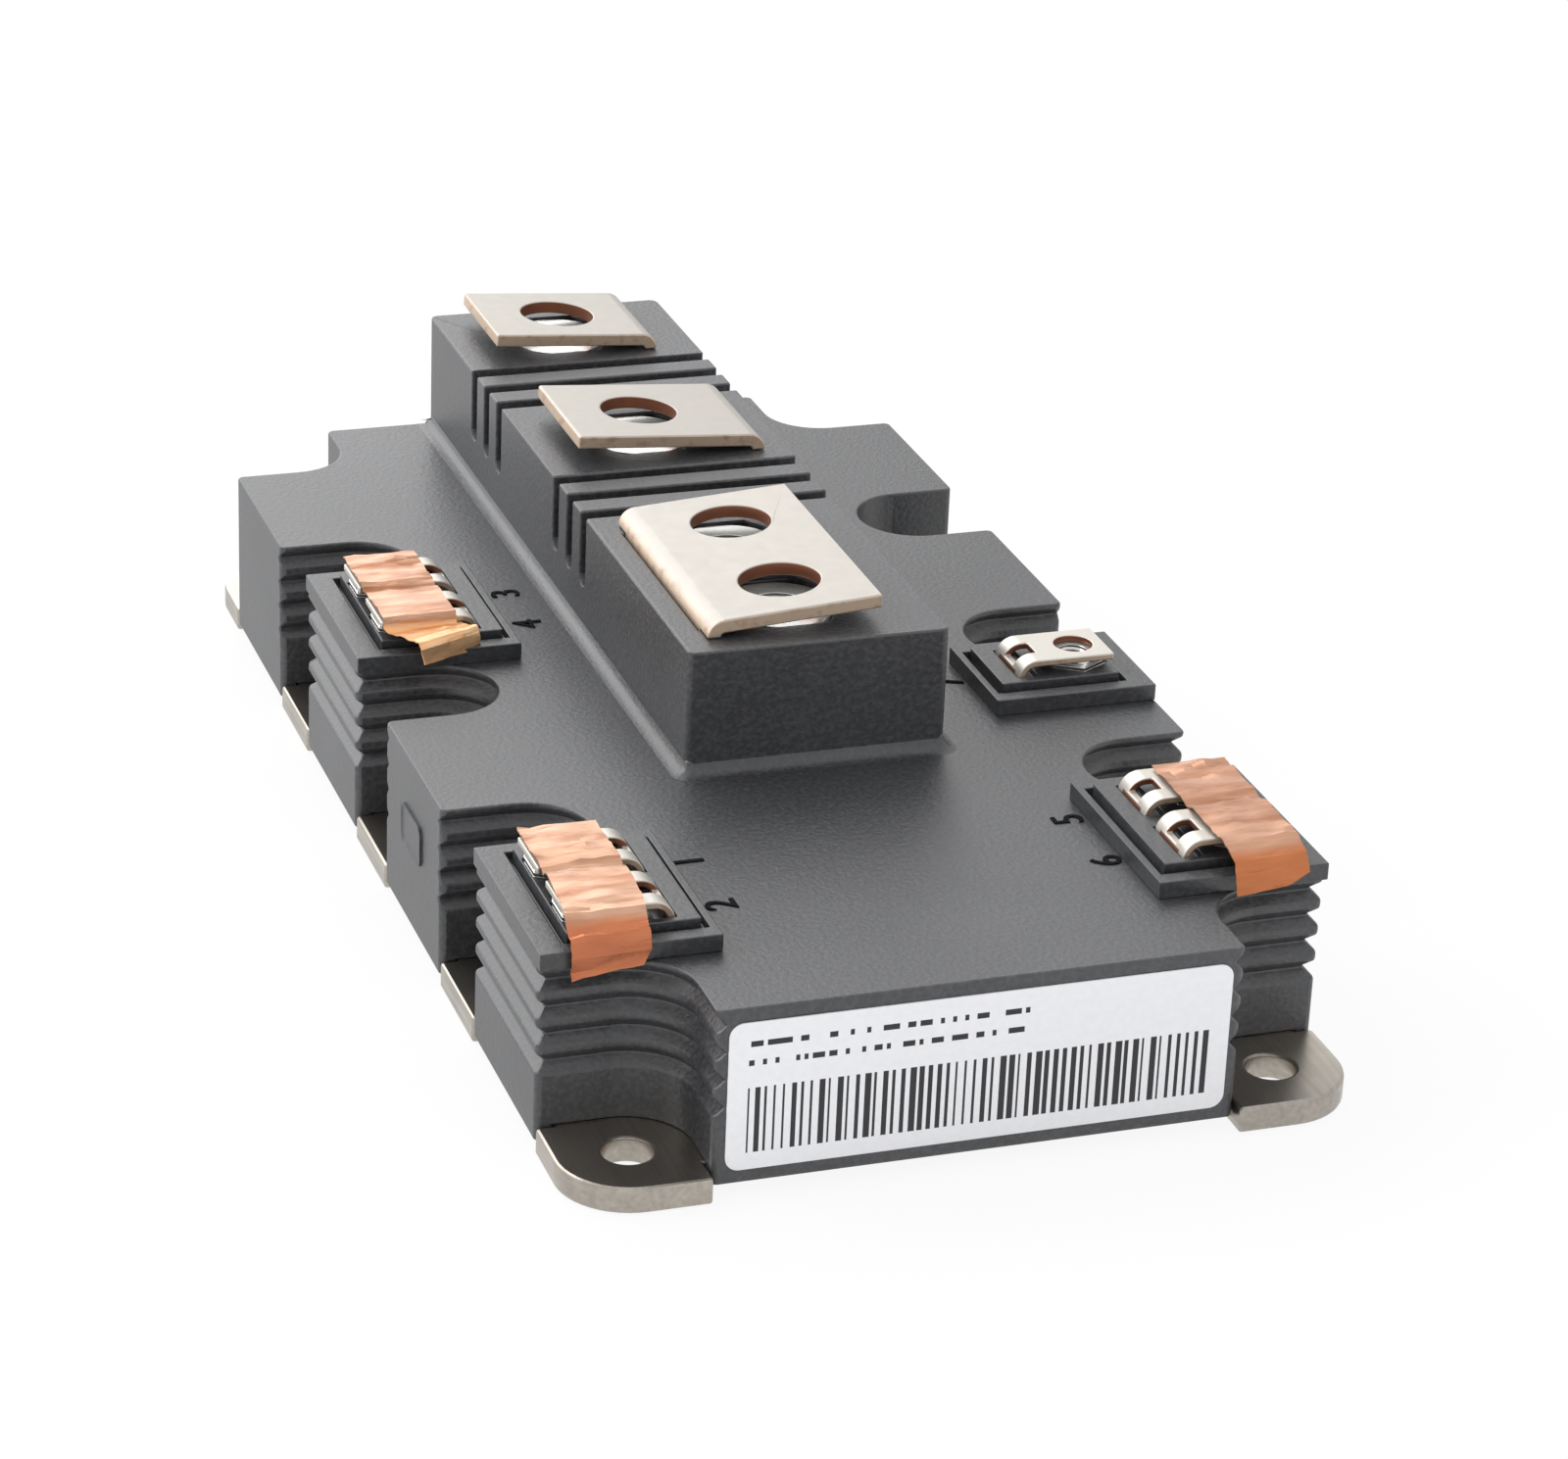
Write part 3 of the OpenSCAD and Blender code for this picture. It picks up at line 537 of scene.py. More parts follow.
def zinc_nut(name, pitch):
    """Zinc-coated steel with a thread of the given pitch in mm."""
    material, tree, shader, place = start_material(name, {"Metallic": 0.6, "Roughness": 0.2})
    dull = add(tree, "TexNoise", {"Scale": per_mm(NUT_MOTTLE), "Detail": 3.0},
               {"Vector": place})
    skin = add(tree, "Mix",
               {"data_type": "RGBA", MIX_A: colour("#f6f5f2"), MIX_B: colour("#d8d6d1")},
               {MIX_FACTOR: dull.outputs[0]})
    height = add(tree, "SeparateXYZ", links={0: place})
    turns = add(tree, "Math", {"operation": "MULTIPLY", 1: 2 * math.pi / (pitch * MM)},
                {0: height.outputs["Z"]})
    ridge = add(tree, "Math", {"operation": "SINE"}, {0: turns.outputs[0]})
    thread = add(tree, "Bump", {"Strength": 0.7, "Distance": THREAD_DEPTH * MM},
                 {"Height": ridge.outputs[0]})
    feed(tree, shader, {
        "Base Color": skin.outputs[MIX_RESULT],
        "Normal": thread.outputs[0],
    })
    return material


power_nut_steel = zinc_nut("zinc_plated_nut_large", 1.25)
aux_nut_steel = zinc_nut("zinc_plated_nut_small", 0.7)
print("nut finishes:", power_nut_steel.name, aux_nut_steel.name)

# %% [markdown]
# ## Copper foil
#
# The foils that short the small terminals in transit are thin soft copper with a light
# oxide. The stretch that lies over the terminals is salmon pink. The tail that fingers
# pressed down is painted a deeper orange and brown as shade, so the colour follows the height.
# The foil at the front right is painted a little darker than the two others, as shade. The
# tail of the rear one is turned over, and it is painted pale golden as a highlight.
# Handling leaves fine wrinkles that run across the strip. They are a noise stretched along
# X, bumped into the surface, on top of the large creases that the mesh has.

# %% Foil tones
BLOOM_WIDTH = 3
# how far below the foil's top the tail's painted tones begin, and are full, in mm
PAINTED_TAIL_BEGINS = 0.25
PAINTED_TAIL_FULL = 0.9
foil_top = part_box("foil_front_left")[1].z


def foil_tones(tree, place, stretched, fresh_tones, painted_tail_tones):
    """Socket with two tones over the terminals, which give way down the tail to two painted tones
    of light and shade.
    """
    bloom = add(tree, "TexNoise", {"Scale": per_mm(BLOOM_WIDTH), "Detail": 3.0},
                {"Vector": stretched})
    tone = add(tree, "MapRange", {"From Min": 0.42, "From Max": 0.66, "To Max": 0.9},
               {"Value": bloom.outputs[0]})
    pale, dark = fresh_tones
    fresh = add(tree, "Mix", {"data_type": "RGBA", MIX_A: colour(pale), MIX_B: colour(dark)},
                {MIX_FACTOR: tone.outputs[0]})
    pale, dark = painted_tail_tones
    tail = add(tree, "Mix", {"data_type": "RGBA", MIX_A: colour(pale), MIX_B: colour(dark)},
               {MIX_FACTOR: bloom.outputs[0]})
    height = add(tree, "SeparateXYZ", links={0: place}).outputs["Z"]
    # below the top the tail's tones take over: painted shade on a tail that faces away from the
    # lamps
    painted_tail_share = add(tree, "MapRange",
               {"From Min": foil_top - PAINTED_TAIL_BEGINS * MM, "From Max": foil_top - PAINTED_TAIL_FULL * MM},
               {"Value": height})
    return add(tree, "Mix", {"data_type": "RGBA"}, {
        MIX_FACTOR: painted_tail_share.outputs[0],
        MIX_A: fresh.outputs[MIX_RESULT],
        MIX_B: tail.outputs[MIX_RESULT],
    }).outputs[MIX_RESULT]


print("the tail's colour is full at a height of mm:", round(foil_top / MM - PAINTED_TAIL_FULL, 1))

# %% Foil copper
WRINKLE_WIDTH = 1.5
WRINKLE_STRETCH = (0.22, 1.0, 1.0)
WRINKLE_DEPTH = 0.3


def soft_copper_foil(name, fresh_tones, painted_tail_tones):
    """Soft copper with wrinkles across the strip."""
    material, tree, shader, place = start_material(name, {"Metallic": 0.6})
    stretched = add(tree, "Mapping", {"Scale": WRINKLE_STRETCH}, {"Vector": place}).outputs[0]
    wrinkle = add(tree, "TexNoise",
                  {"Scale": per_mm(WRINKLE_WIDTH), "Detail": 4.0, "Distortion": 0.6},
                  {"Vector": stretched})
    satin = add(tree, "MapRange", {"To Min": 0.25, "To Max": 0.5},
                {"Value": wrinkle.outputs[0]})
    relief = add(tree, "Bump", {"Strength": 0.7, "Distance": WRINKLE_DEPTH * MM},
                 {"Height": wrinkle.outputs[0]})
    feed(tree, shader, {
        "Base Color": foil_tones(tree, place, stretched, fresh_tones, painted_tail_tones),
        "Roughness": satin.outputs[0],
        "Normal": relief.outputs[0],
    })
    return material


# the tail of this foil is painted darker orange and brown, as shade
foil_copper = soft_copper_foil(
    "soft_copper_foil_painted_shade_tail", ("#d3a68a", "#a06640"), ("#dc8a58", "#a85c46"))
# the front right foil is painted a little darker all over, as shade, and its tail darker still
foil_copper_painted_shade = soft_copper_foil(
    "soft_copper_foil_painted_shade", ("#cd9c80", "#9c6240"), ("#dc8a56", "#9e5936"))
# the folded tail is painted pale golden, as the highlight along its roll
foil_copper_fold_highlight = soft_copper_foil(
    "soft_copper_foil_folded_painted_highlight", ("#d3a68a", "#a06640"), ("#ffdfb4", "#f0994e"))
print("foil finishes:", foil_copper.name, foil_copper_painted_shade.name, foil_copper_fold_highlight.name)

# %% [markdown]
# ## The paper label
#
# The label is coated paper, stuck to the end wall. What is printed on it is kept generic: a
# field of plain upright bars in its lower half and rows of short dashes above. Both are
# worked out from Object coordinates. A white noise that reads only the number of a column
# gives each column its own random value, and the value says how much of it is black.

# %% Printed bars
PRINT_MARGIN = 2.2 * MM
BAR_FOOT = 2.0 * MM
BAR_HEIGHT = 7.6 * MM
BAR_PITCH = 1.0
# the thinnest and the widest bar, as a share of the pitch
BAR_THINNEST = 0.22
BAR_WIDEST = 0.78
label_low, label_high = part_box("label")


def cell_number(tree, value, size):
    """Socket with the number of the cell, of the given size in mm, that the value falls in."""
    scaled = add(tree, "Math", {"operation": "MULTIPLY", 1: per_mm(size)}, {0: value})
    return add(tree, "Math", {"operation": "FLOOR"}, {0: scaled.outputs[0]}).outputs[0]


def printed_bars(tree, along, height):
    """Mask of the bars: each column is black up to its own random share."""
    column = cell_number(tree, along, BAR_PITCH)
    chance = add(tree, "TexWhiteNoise", {"noise_dimensions": "1D"}, {"W": column})
    width = add(tree, "MapRange", {"To Min": BAR_THINNEST, "To Max": BAR_WIDEST},
                {"Value": chance.outputs[0]})
    scaled = add(tree, "Math", {"operation": "MULTIPLY", 1: per_mm(BAR_PITCH)}, {0: along})
    inside = add(tree, "Math", {"operation": "FRACT"}, {0: scaled.outputs[0]})
    bar = add(tree, "Math", {"operation": "LESS_THAN"},
              {0: inside.outputs[0], 1: width.outputs[0]})
    foot = label_low.z + BAR_FOOT
    return all_of(
        tree,
        bar.outputs[0],
        between(tree, height, foot, foot + BAR_HEIGHT),
        between(tree, along, label_low.x + PRINT_MARGIN, label_high.x - PRINT_MARGIN),
    )


print("label in mm:", [round(v / MM, 1) for v in label_high - label_low])

# %% Printed dashes
DASH_COLUMN = 0.45
DASH_ROW = 2.2
DASH_ROWS = 2
DASH_FOOT = 11.4 * MM
DASH_END = 33 * MM
# the share of a row's height that is printed, and the share of its cells that is black
DASH_BAND = (0.35, 0.65)
DASH_SHARE = 0.52


def printed_dashes(tree, along, height):
    """Mask of the rows of dashes: each small cell is black or white by chance."""
    from_foot = add(tree, "Math", {"operation": "SUBTRACT", 1: label_low.z + DASH_FOOT},
                    {0: height}).outputs[0]
    row = cell_number(tree, from_foot, DASH_ROW)
    cell = add(tree, "CombineXYZ", links={"X": cell_number(tree, along, DASH_COLUMN), "Y": row})
    chance = add(tree, "TexWhiteNoise", {"noise_dimensions": "2D"}, {"Vector": cell.outputs[0]})
    dash = add(tree, "Math", {"operation": "LESS_THAN", 1: DASH_SHARE}, {0: chance.outputs[0]})
    in_row = add(tree, "Math", {"operation": "PINGPONG", 1: DASH_ROW * MM}, {0: from_foot})
    band_low, band_high = (share * DASH_ROW * MM for share in DASH_BAND)
    return all_of(
        tree,
        dash.outputs[0],
        between(tree, in_row.outputs[0], band_low, band_high),
        between(tree, from_foot, 0, DASH_ROWS * DASH_ROW * MM),
        between(tree, along, label_low.x + PRINT_MARGIN, label_low.x + DASH_END),
    )


print("rows of dashes:", DASH_ROWS)

# %% Label paper
# the real fibres are finer, and are drawn as coarse as they need to show
FIBRE_WIDTH = 0.9


def printed_paper():
    """White coated paper with black print."""
    material, tree, shader, place = start_material("coated_paper_printed", {"Roughness": 0.42})
    spot = add(tree, "SeparateXYZ", links={0: place})
    along = spot.outputs["X"]
    height = spot.outputs["Z"]
    bars = printed_bars(tree, along, height)
    dashes = printed_dashes(tree, along, height)
    ink = add(tree, "Math", {"operation": "MAXIMUM"}, {0: bars, 1: dashes})
    fibre = add(tree, "TexNoise", {"Scale": per_mm(FIBRE_WIDTH), "Detail": 3.0},
                {"Vector": place})
    paper = add(tree, "Mix",
                {"data_type": "RGBA", MIX_A: colour("#fdfdff"), MIX_B: colour("#f0f1f6")},
                {MIX_FACTOR: fibre.outputs[0]})
    face = add(tree, "Mix", {"data_type": "RGBA", MIX_B: colour("#26262a")},
               {MIX_FACTOR: ink.outputs[0], MIX_A: paper.outputs[MIX_RESULT]})
    relief = add(tree, "Bump", {"Strength": 0.1, "Distance": FINE_RELIEF * MM},
                 {"Height": fibre.outputs[0]})
    feed(tree, shader, {
        "Base Color": face.outputs[MIX_RESULT],
        "Normal": relief.outputs[0],
    })
    return material


label_paper = printed_paper()
print("label finish:", label_paper.name)

# %% [markdown]
# ## Finishes of the power circuit
#
# Ceramic substrates, copper tracks, chips, a bead of glue and a clear gel lie inside the
# housing, where no view reaches them. They still get finishes of their own, because the
# model may be taken apart. Each is one colour broken up by grain of a real size.

# %% Circuit finishes
def grained(name, base, second, grain, settings):
    """A surface of two close colours, mixed by grain of the given size in mm."""
    material, tree, shader, place = start_material(name, settings)
    noise = add(tree, "TexNoise", {"Scale": per_mm(grain), "Detail": 3.0}, {"Vector": place})
    spread = add(tree, "MapRange", {"From Min": 0.35, "From Max": 0.65},
                 {"Value": noise.outputs[0]})
    skin = add(tree, "Mix", {"data_type": "RGBA", MIX_A: colour(base), MIX_B: colour(second)},
               {MIX_FACTOR: spread.outputs[0]})
    relief = add(tree, "Bump", {"Strength": 0.2, "Distance": FINE_RELIEF * MM},
                 {"Height": noise.outputs[0]})
    feed(tree, shader, {
        "Base Color": skin.outputs[MIX_RESULT],
        "Normal": relief.outputs[0],
    })
    return material


ceramic = grained(
    "alumina_sintered", "#e9e6dc", "#d8d4c8", 0.4, {"Roughness": 0.5, "IOR": 1.76})
track_copper = grained(
    "copper_bonded_etched", "#c9794f", "#b5663f", 0.6, {"Metallic": 1.0, "Roughness": 0.4})
chip_silicon = grained(
    "silicon_metallised", "#9a9ba0", "#85868c", 0.5, {"Metallic": 1.0, "Roughness": 0.25})
resistor_body = grained(
    "thermistor_glazed", "#222226", "#2d2d31", 0.4, {"Roughness": 0.3})
glue = grained(
    "silicone_glue_cured", "#d9d8d2", "#cbcac4", 1.5, {"Roughness": 0.5, "IOR": 1.41})
gel = grained(
    "silicone_gel_clear", "#dfe8ea", "#d3dee1", 6,
    {"Roughness": 0.08, "IOR": 1.41, "Transmission Weight": 0.9})
circuit = (ceramic, track_copper, chip_silicon, resistor_body, glue, gel)
print("circuit finishes:", [finish.name for finish in circuit])

# %% [markdown]
# ## Dressing the CAD nodes
#
# A CAD node keeps its mesh and its place, but it may carry modifiers. Its mesh is loose
# triangles with knife-sharp edges, and no real moulding or stamping has such edges. Weld
# joins the triangles, a planar Decimate turns each flat face back into one face, and Bevel
# then rounds only the real edges. The light lines along the rims come from that bevel.
#
# Where ribs meet notches, the housing and the carriers have a few edges much shorter than
# the bevel is wide. With Clamp Overlap on, one of them would shrink the bevel of the whole
# piece to nothing, so it is off. The bevel would then turn faces over at those short edges,
# so a second Weld joins their ends first, and the width stays small enough for the rest.

# %% Finish of each kind of node
# the finish, or None for a terminal's own, and the width of the edge rounding in mm
FINISHES = {
    "base_plate": (nickel_plate, 0.35),
    "housing": (housing_plastic, 0.24),
    "carrier": (carrier_plastic, 0.12),
    "aux_terminal": (None, 0.15),
    "aux_nut": (aux_nut_steel, 0.1),
    "power_nut": (power_nut_steel, 0.1),
    "ac_terminal": (None, 0.2),
    "dc_plus_terminal": (None, 0.2),
    "dc_minus_terminal": (None, 0.2),
    "foil": (foil_copper, 0),
    "label": (label_paper, 0.05),
    "substrate": (ceramic, 0.1),
    "copper_tracks": (track_copper, 0.1),
    "igbt_chips": (chip_silicon, 0.05),
    "diode_chips": (chip_silicon, 0.05),
    "thermistor": (resistor_body, 0.1),
    "glue_bead": (glue, 0.2),
    "silicone_gel": (gel, 0),
}
# edges shorter than this, in mm, are joined before the bevel
SHORTEST_EDGE = {"housing": 0.22, "carrier": 0.05}
print("kinds of node:", len(FINISHES))

# %% Dress the nodes
WELD_GAP = 0.002
FLAT_ANGLE = math.radians(1)
EDGE_ANGLE = math.radians(32)
EDGE_SEGMENTS = 2


def soften(piece, width, shortest):
    """Joins the triangles of a CAD node and rounds its edges by the width, in mm."""
    weld = piece.modifiers.new("join_triangles", "WELD")
    weld.merge_threshold = WELD_GAP * MM
    flat = piece.modifiers.new("flat_faces", "DECIMATE")
    flat.decimate_type = "DISSOLVE"
    flat.angle_limit = FLAT_ANGLE
    if shortest:
        thin = piece.modifiers.new("join_short_edges", "WELD")
        thin.merge_threshold = shortest * MM
    bevel = piece.modifiers.new("round_edges", "BEVEL")
    bevel.width = width * MM
    bevel.segments = EDGE_SEGMENTS
    bevel.limit_method = "ANGLE"
    bevel.angle_limit = EDGE_ANGLE
    bevel.use_clamp_overlap = False
    level = piece.modifiers.new("even_shading", "WEIGHTED_NORMAL")
    level.keep_sharp = True


def dress(name, piece):
    """Gives a node the finish and the edges of its kind, and returns the kind."""
    key = next(k for k in FINISHES if name.startswith(k))
    material, width = FINISHES[key]
    piece.data.materials.clear()
    piece.data.materials.append(material or terminal_metals[name])
    if width:
        soften(piece, width, SHORTEST_EDGE.get(key, 0))
    return key


kinds = {dress(name, piece) for name, piece in nodes.items()}
print("dressed", len(nodes), "nodes of", len(kinds), "kinds")

# %% [markdown]
# ## Modelling helpers
#
# New pieces are shaped in edit mode, as by hand. Operators act on what is selected, so every
# piece starts from an empty selection, and the faces or points to work on are chosen in code
# by their place. When a piece is finished, its place goes into its mesh and its object goes
# back to the origin, as the CAD nodes have it.

# %% Modelling helpers
def clear_selection():
    """Leaves edit mode and selects nothing."""
    if bpy.context.object and bpy.context.object.mode == "EDIT":
        bpy.ops.object.mode_set(mode="OBJECT")
    bpy.ops.object.select_all(action="DESELECT")


def pick_points(piece, wanted):
    """Selects the points of the piece, in edit mode, whose place passes the test."""
    bpy.ops.mesh.select_all(action="DESELECT")
    bpy.ops.object.mode_set(mode="OBJECT")
    for point in piece.data.vertices:
        point.select = wanted(piece.matrix_world @ point.co)
    bpy.ops.object.mode_set(mode="EDIT")


def finish_piece(piece, name, material):
    """Applies the modifiers and the place, names the piece and lets it ride with the frame."""
    clear_selection()
    piece.select_set(True)
    bpy.context.view_layer.objects.active = piece
    for modifier in list(piece.modifiers):
        bpy.ops.object.modifier_apply(modifier=modifier.name)
    bpy.ops.object.transform_apply(location=True, rotation=True, scale=True)
    piece.name = name
    piece.data.materials.clear()
    piece.data.materials.append(material)
    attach(piece, "root")


print("modelling helpers are ready")

# %% [markdown]
# ## The copper foils
#
# A foil is cut from a strip, laid over two terminals, and its tail is pressed down over the
# end of the carrier. It starts as a plane as wide as the strip. Its front edge is extruded
# once for each crease, so that every crease is a row of points, and an extrusion may be
# turned for a tail that was folded askew. One corner of the last edge is then pulled in and
# lifted, because a loose corner never lies straight.
#
# The strip is subdivided and displaced by two cloud textures: a wide one for the dents of the
# fingers and a small hard one for the crumples. Solidify gives it its thickness last.

# %% Foil steps
# one crease each: how far towards the front and how far up in mm, how much the new edge turns
# in degrees, and how far it shifts towards the tower in mm
LEFT_STEPS = [
    (3.4, -0.1, 0, 0), (4.9, 0.15, 0, 0), (1.2, -0.45, 0, 0), (1.4, 0.45, 0, 0),
    (6.6, 0.1, 0, -0.4), (2.2, -0.3, -1, -0.3), (2.4, -1.5, 3, -0.2), (0.5, 0.2, 2, 0),
    (0.6, -2.0, -2, 0), (0.1, -2.4, 0, 0),
]
RIGHT_STEPS = [
    (2.8, -0.1, 0, 0), (4.6, 0.15, 0, 0), (1.6, -0.5, 0, 0), (1.4, 0.45, 0, 0),
    (4.6, 0.1, 0, 0), (4.0, -0.1, -2, -0.1), (2.6, -1.3, -3, -0.2), (0.8, -0.8, 2, 0.1),
    (0.6, -0.7, 2, 0.1), (0.5, -1.6, 0, 0),
]
ASKEW_STEPS = [
    (3.0, -0.1, 0, 0), (4.9, 0.15, 0, 0), (1.4, -0.5, 0, 0), (1.4, 0.45, 0, 0),
    (8.0, 0.15, 0, 0), (0.5, -1.2, 0, 0), (0.2, -0.3, 6, 0.4), (2.3, 0.2, 14, 1.7),
    (0.9, 0.1, 4, 0.4), (0.5, -0.6, 0, 0.1), (0.2, -1.9, 0, 0.1),
]
print("creases:", [len(steps) for steps in (LEFT_STEPS, RIGHT_STEPS, ASKEW_STEPS)])

# %% Foil corner
# the loose corner is what lies this near to the last edge, along the module and up, in mm
CORNER_REACH = (0.5, 0.3)


def pull_corner(strip, side, edge, which, pulled_in, lifted):
    """Moves the outer (1) or inner (-1) corner of the last edge in and up, in mm."""
    reach_y, reach_z = CORNER_REACH

    def is_corner(place):
        at_end = place.y < edge.y + reach_y * MM and place.z < edge.z + reach_z * MM
        return at_end and which * side * (place.x - edge.x) > 0

    pick_points(strip, is_corner)
    bpy.ops.transform.translate(value=(-which * side * pulled_in * MM, 0, lifted * MM))


print("a loose corner reaches, in mm:", CORNER_REACH)

# %% Foil strip
FOIL_WIDTH = 8.8
FOIL_START = 0.8
FOIL_CUTS = 5


def lay_strip(side, inner, back_y, top_z, steps, corner):
    """The bare strip: a plane whose front edge is extruded once for each crease."""
    clear_selection()
    middle = side * (inner + FOIL_WIDTH / 2 * MM)
    first = FOIL_START * MM
    bpy.ops.mesh.primitive_plane_add(size=1, location=(middle, back_y - first / 2, top_z))
    strip = bpy.context.object
    bpy.ops.object.mode_set(mode="EDIT")
    bpy.ops.transform.resize(value=(FOIL_WIDTH * MM, first, 1))
    edge = Vector((middle, back_y - first, top_z))
    pick_points(strip, lambda place: place.y < back_y - first / 2)
    for forward, up, turn, shift in steps:
        move = Vector((-side * shift, -forward, up)) * MM
        bpy.ops.mesh.extrude_edges_move(TRANSFORM_OT_translate={"value": move})
        edge += move
        if turn:
            bpy.ops.transform.rotate(
                value=side * math.radians(turn), orient_axis="Z", center_override=edge)
    pull_corner(strip, side, edge, *corner)
    bpy.ops.mesh.select_all(action="SELECT")
    bpy.ops.mesh.subdivide(number_cuts=FOIL_CUTS)
    bpy.ops.object.mode_set(mode="OBJECT")
    return strip


print("foil strip:", FOIL_WIDTH, "mm wide")

# %% Foil crumples
FOIL_THICKNESS = 0.14
# size and depth of the clouds in mm, and whether they are hard
FINGER_DENTS = (6, 0.6, False)
CRUMPLES = (1.8, 0.7, True)
CLOUD_DETAIL = 2
CLOUD_MIDDLE = 0.3


def dent(piece, name, size, depth, hard):
    """Displaces a piece by clouds of the given size and depth, in mm."""
    texture = bpy.data.textures.new(name, "CLOUDS")
    texture.noise_scale = size * MM
    texture.noise_type = "HARD_NOISE" if hard else "SOFT_NOISE"
    texture.noise_depth = CLOUD_DETAIL
    push = piece.modifiers.new(name, "DISPLACE")
    push.texture = texture
    push.texture_coords = "GLOBAL"
    push.strength = depth * MM
    push.mid_level = CLOUD_MIDDLE


def crumple(piece):
    """Dents and crumples a bare strip, and gives it its thickness."""
    dent(piece, "finger_dents", *FINGER_DENTS)
    dent(piece, "crumples", *CRUMPLES)
    thick = piece.modifiers.new("foil_gauge", "SOLIDIFY")
    thick.thickness = FOIL_THICKNESS * MM
    thick.offset = 0


print("foil gauge:", FOIL_THICKNESS, "mm")

# %% Foils
FOIL_RISE = 0.2
CREASE_ANGLE = math.radians(18)
aux_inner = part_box("foil_front_right")[0].x
# node: side, inner edge and back edge against the node's box in mm, creases, copper, and the
# loose corner: which one, how far it is pulled in and how far it is lifted
FOILS = {
    "foil_front_left": (-1, 0.0, 0.6, LEFT_STEPS, foil_copper, (-1, 0.9, 0.8)),
    "foil_front_right": (1, 0.8, -0.8, RIGHT_STEPS, foil_copper_painted_shade, (1, 2.8, 0.5)),
    "foil_rear_left": (-1, 0.0, 0.6, ASKEW_STEPS, foil_copper_fold_highlight, (1, 0.3, 0.1)),
}
for node_name, (side, inward, overhang, steps, copper, corner) in FOILS.items():
    low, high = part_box(node_name)
    back_y = high.y + overhang * MM
    top_z = high.z + (FOIL_RISE - FOIL_THICKNESS) * MM
    strip = lay_strip(side, aux_inner + inward * MM, back_y, top_z, steps, corner)
    crumple(strip)
    finish_piece(strip, node_name.replace("foil", "copper_foil"), copper)
    bpy.ops.object.shade_smooth_by_angle(angle=CREASE_ANGLE)
    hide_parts(node_name)
    print(strip.name, "has", len(strip.data.polygons), "faces")

# %% [markdown]
# ## The fillet at the foot of the tower
#
# The tower grows out of the deck with a soft hollow fillet. It starts as a plane a little
# larger than the tower's footprint, whose front corners are rounded. Each inset then goes a
# bit further in and rises a bit more than the last, until the last ring is inside the tower.
# The plane lies a hair below the deck, so that the fillet runs out into it.

# %% Foot fillet
TOWER_HALF_WIDTH = 15.5
TOWER_FRONT = -29.6
TOWER_BACK = 84.3
DECK = 21.6
FILLET_REACH = 1.7
FILLET_CORNER = 2.4
FILLET_CORNER_SEGMENTS = 8
FILLET_SINK = 0.02
# how far in and how far up each ring goes, in mm
FILLET_RINGS = [(0.45, 0.08), (0.4, 0.16), (0.35, 0.28), (0.3, 0.42), (0.2, 0.5), (0.15, 0.4)]

clear_selection()
reach_x = 2 * (TOWER_HALF_WIDTH + FILLET_REACH)
reach_y = TOWER_BACK - TOWER_FRONT + FILLET_REACH
bpy.ops.mesh.primitive_plane_add(
    size=1, location=(0, (TOWER_BACK - reach_y / 2) * MM, (DECK - FILLET_SINK) * MM))
fillet = bpy.context.object
bpy.ops.object.mode_set(mode="EDIT")
bpy.ops.transform.resize(value=(reach_x * MM, reach_y * MM, 1))
pick_points(fillet, lambda place: place.y < TOWER_FRONT * MM)
bpy.ops.mesh.bevel(
    offset=FILLET_CORNER * MM, segments=FILLET_CORNER_SEGMENTS, affect="VERTICES")
bpy.ops.mesh.select_all(action="SELECT")
for inward, rise in FILLET_RINGS:
    bpy.ops.mesh.inset(thickness=inward * MM, depth=rise * MM)
bpy.ops.object.mode_set(mode="OBJECT")
finish_piece(fillet, "tower_foot_fillet", housing_plastic)
bpy.ops.object.shade_smooth()
print("fillet rings:", len(FILLET_RINGS))

# %% [markdown]
# ## Moulded numerals
#
# Plain numerals stand beside the terminals, so that a wiring plan can name them. They are
# cut into the mould and so stand proud of the deck. Their faces are coarser and matt and catch
# little sheen, and their colour is painted nearly black as the shade along their strokes, so
# they look nearly black on the paler deck. Each is a text object, which becomes a mesh: text
# is the one primitive that already has the shape of a numeral.

# %% Numerals
NUMERAL_HEIGHT = 3.6
NUMERAL_RELIEF = 0.15
NUMERAL_STROKE = 0.02
FONT_SIZE_PER_HEIGHT = 1.4
NUMERAL_TURN = math.radians(90)
# numeral, and its place across and along the module in mm
NUMERALS = [
    ("1", -21.6, -50.5), ("2", -21.4, -61.3), ("3", -21.1, 25.7), ("4", -20.9, 16.1),
    ("5", 22.5, -50.6), ("6", 22.8, -61.4), ("7", 22.7, -12.1), ("8", 24.8, 26.2),
]
# the numerals' colour is painted nearly black, as the shade along their strokes; they are matt as
# well
numeral_painted_shade = grained(
    "glass_filled_pbt_numeral_painted_shade", "#0e0e10", "#1c1c1f", 0.3,
    {"Roughness": 0.9, "Specular IOR Level": 0.1})


def numeral(character, x, y):
    """A raised numeral on the deck, whose line of writing runs along the module."""
    clear_selection()
    bpy.ops.object.text_add(
        location=(x * MM, y * MM, DECK * MM), rotation=(0, 0, NUMERAL_TURN))
    made = bpy.context.object
    made.data.body = character
    made.data.size = NUMERAL_HEIGHT * FONT_SIZE_PER_HEIGHT * MM
    made.data.extrude = NUMERAL_RELIEF * MM
    made.data.offset = NUMERAL_STROKE * MM
    made.data.align_x = "CENTER"
    made.data.align_y = "CENTER"
    bpy.ops.object.convert(target="MESH")
    finish_piece(made, "numeral_" + character, numeral_painted_shade)


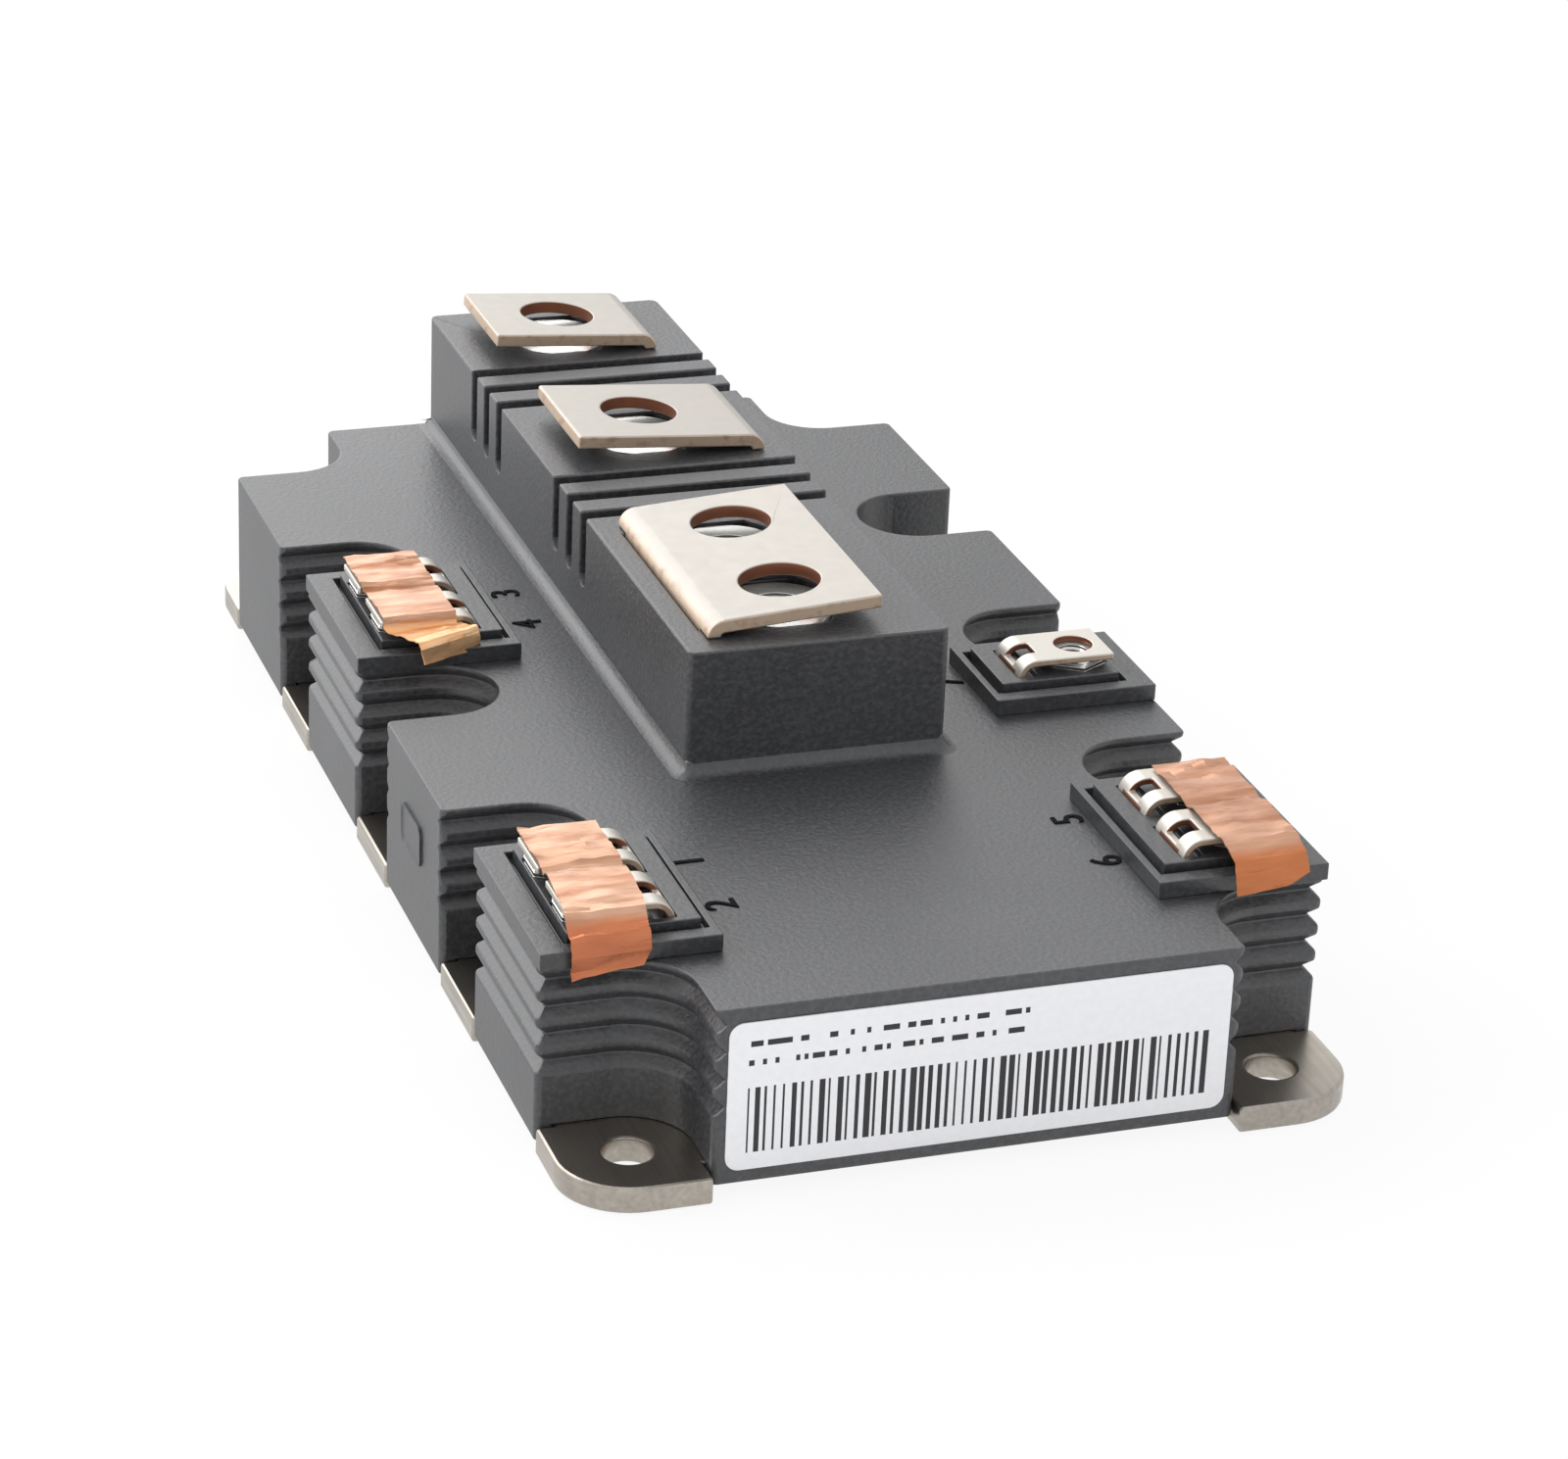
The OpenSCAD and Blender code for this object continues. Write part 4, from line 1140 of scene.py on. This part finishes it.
for entry in NUMERALS:
    numeral(*entry)
print("numerals:", len(NUMERALS))

# %% [markdown]
# ## The mark of a mould insert
#
# Moulds have small exchangeable inserts, and each leaves a shallow raised field. One shows on
# the outer wall of the middle left block. It is a cube, flattened to the field's size, whose
# upright corners are rounded and whose face is then inset and pressed in, as a blank field.

# %% Insert mark
MARK_LENGTH = 8.4
MARK_HEIGHT = 5.0
MARK_RELIEF = 0.3
MARK_RIM = 0.5
MARK_PRESS = 0.6    # how deep the field is pressed in, as a share of the relief
MARK_CORNER = 1.2
MARK_CORNER_SEGMENTS = 5
MARK_Y = -19.5
MARK_Z = 13.0
LOOKS_OUT = -0.9    # a normal's X below this belongs to the outer face

clear_selection()
bpy.ops.mesh.primitive_cube_add(size=1, location=(cad_low.x, MARK_Y * MM, MARK_Z * MM))
mark = bpy.context.object
bpy.ops.object.mode_set(mode="EDIT")
bpy.ops.transform.resize(value=(2 * MARK_RELIEF * MM, MARK_LENGTH * MM, MARK_HEIGHT * MM))
bpy.ops.mesh.select_mode(type="EDGE")
bpy.ops.mesh.select_all(action="DESELECT")
bpy.ops.object.mode_set(mode="OBJECT")
for edge in mark.data.edges:
    one, other = (mark.data.vertices[i].co for i in edge.vertices)
    edge.select = abs(one.x - other.x) > MARK_RELIEF * MM
bpy.ops.object.mode_set(mode="EDIT")
bpy.ops.mesh.bevel(offset=MARK_CORNER * MM, segments=MARK_CORNER_SEGMENTS)
bpy.ops.mesh.select_mode(type="FACE")
bpy.ops.mesh.select_all(action="DESELECT")
bpy.ops.object.mode_set(mode="OBJECT")
for face in mark.data.polygons:
    face.select = face.normal.x < LOOKS_OUT
bpy.ops.object.mode_set(mode="EDIT")
bpy.ops.mesh.inset(thickness=MARK_RIM * MM)
bpy.ops.transform.translate(value=(MARK_PRESS * MARK_RELIEF * MM, 0, 0))
bpy.ops.object.mode_set(mode="OBJECT")
finish_piece(mark, "mould_insert_mark", housing_plastic)
print("mark:", MARK_LENGTH, "by", MARK_HEIGHT, "mm")
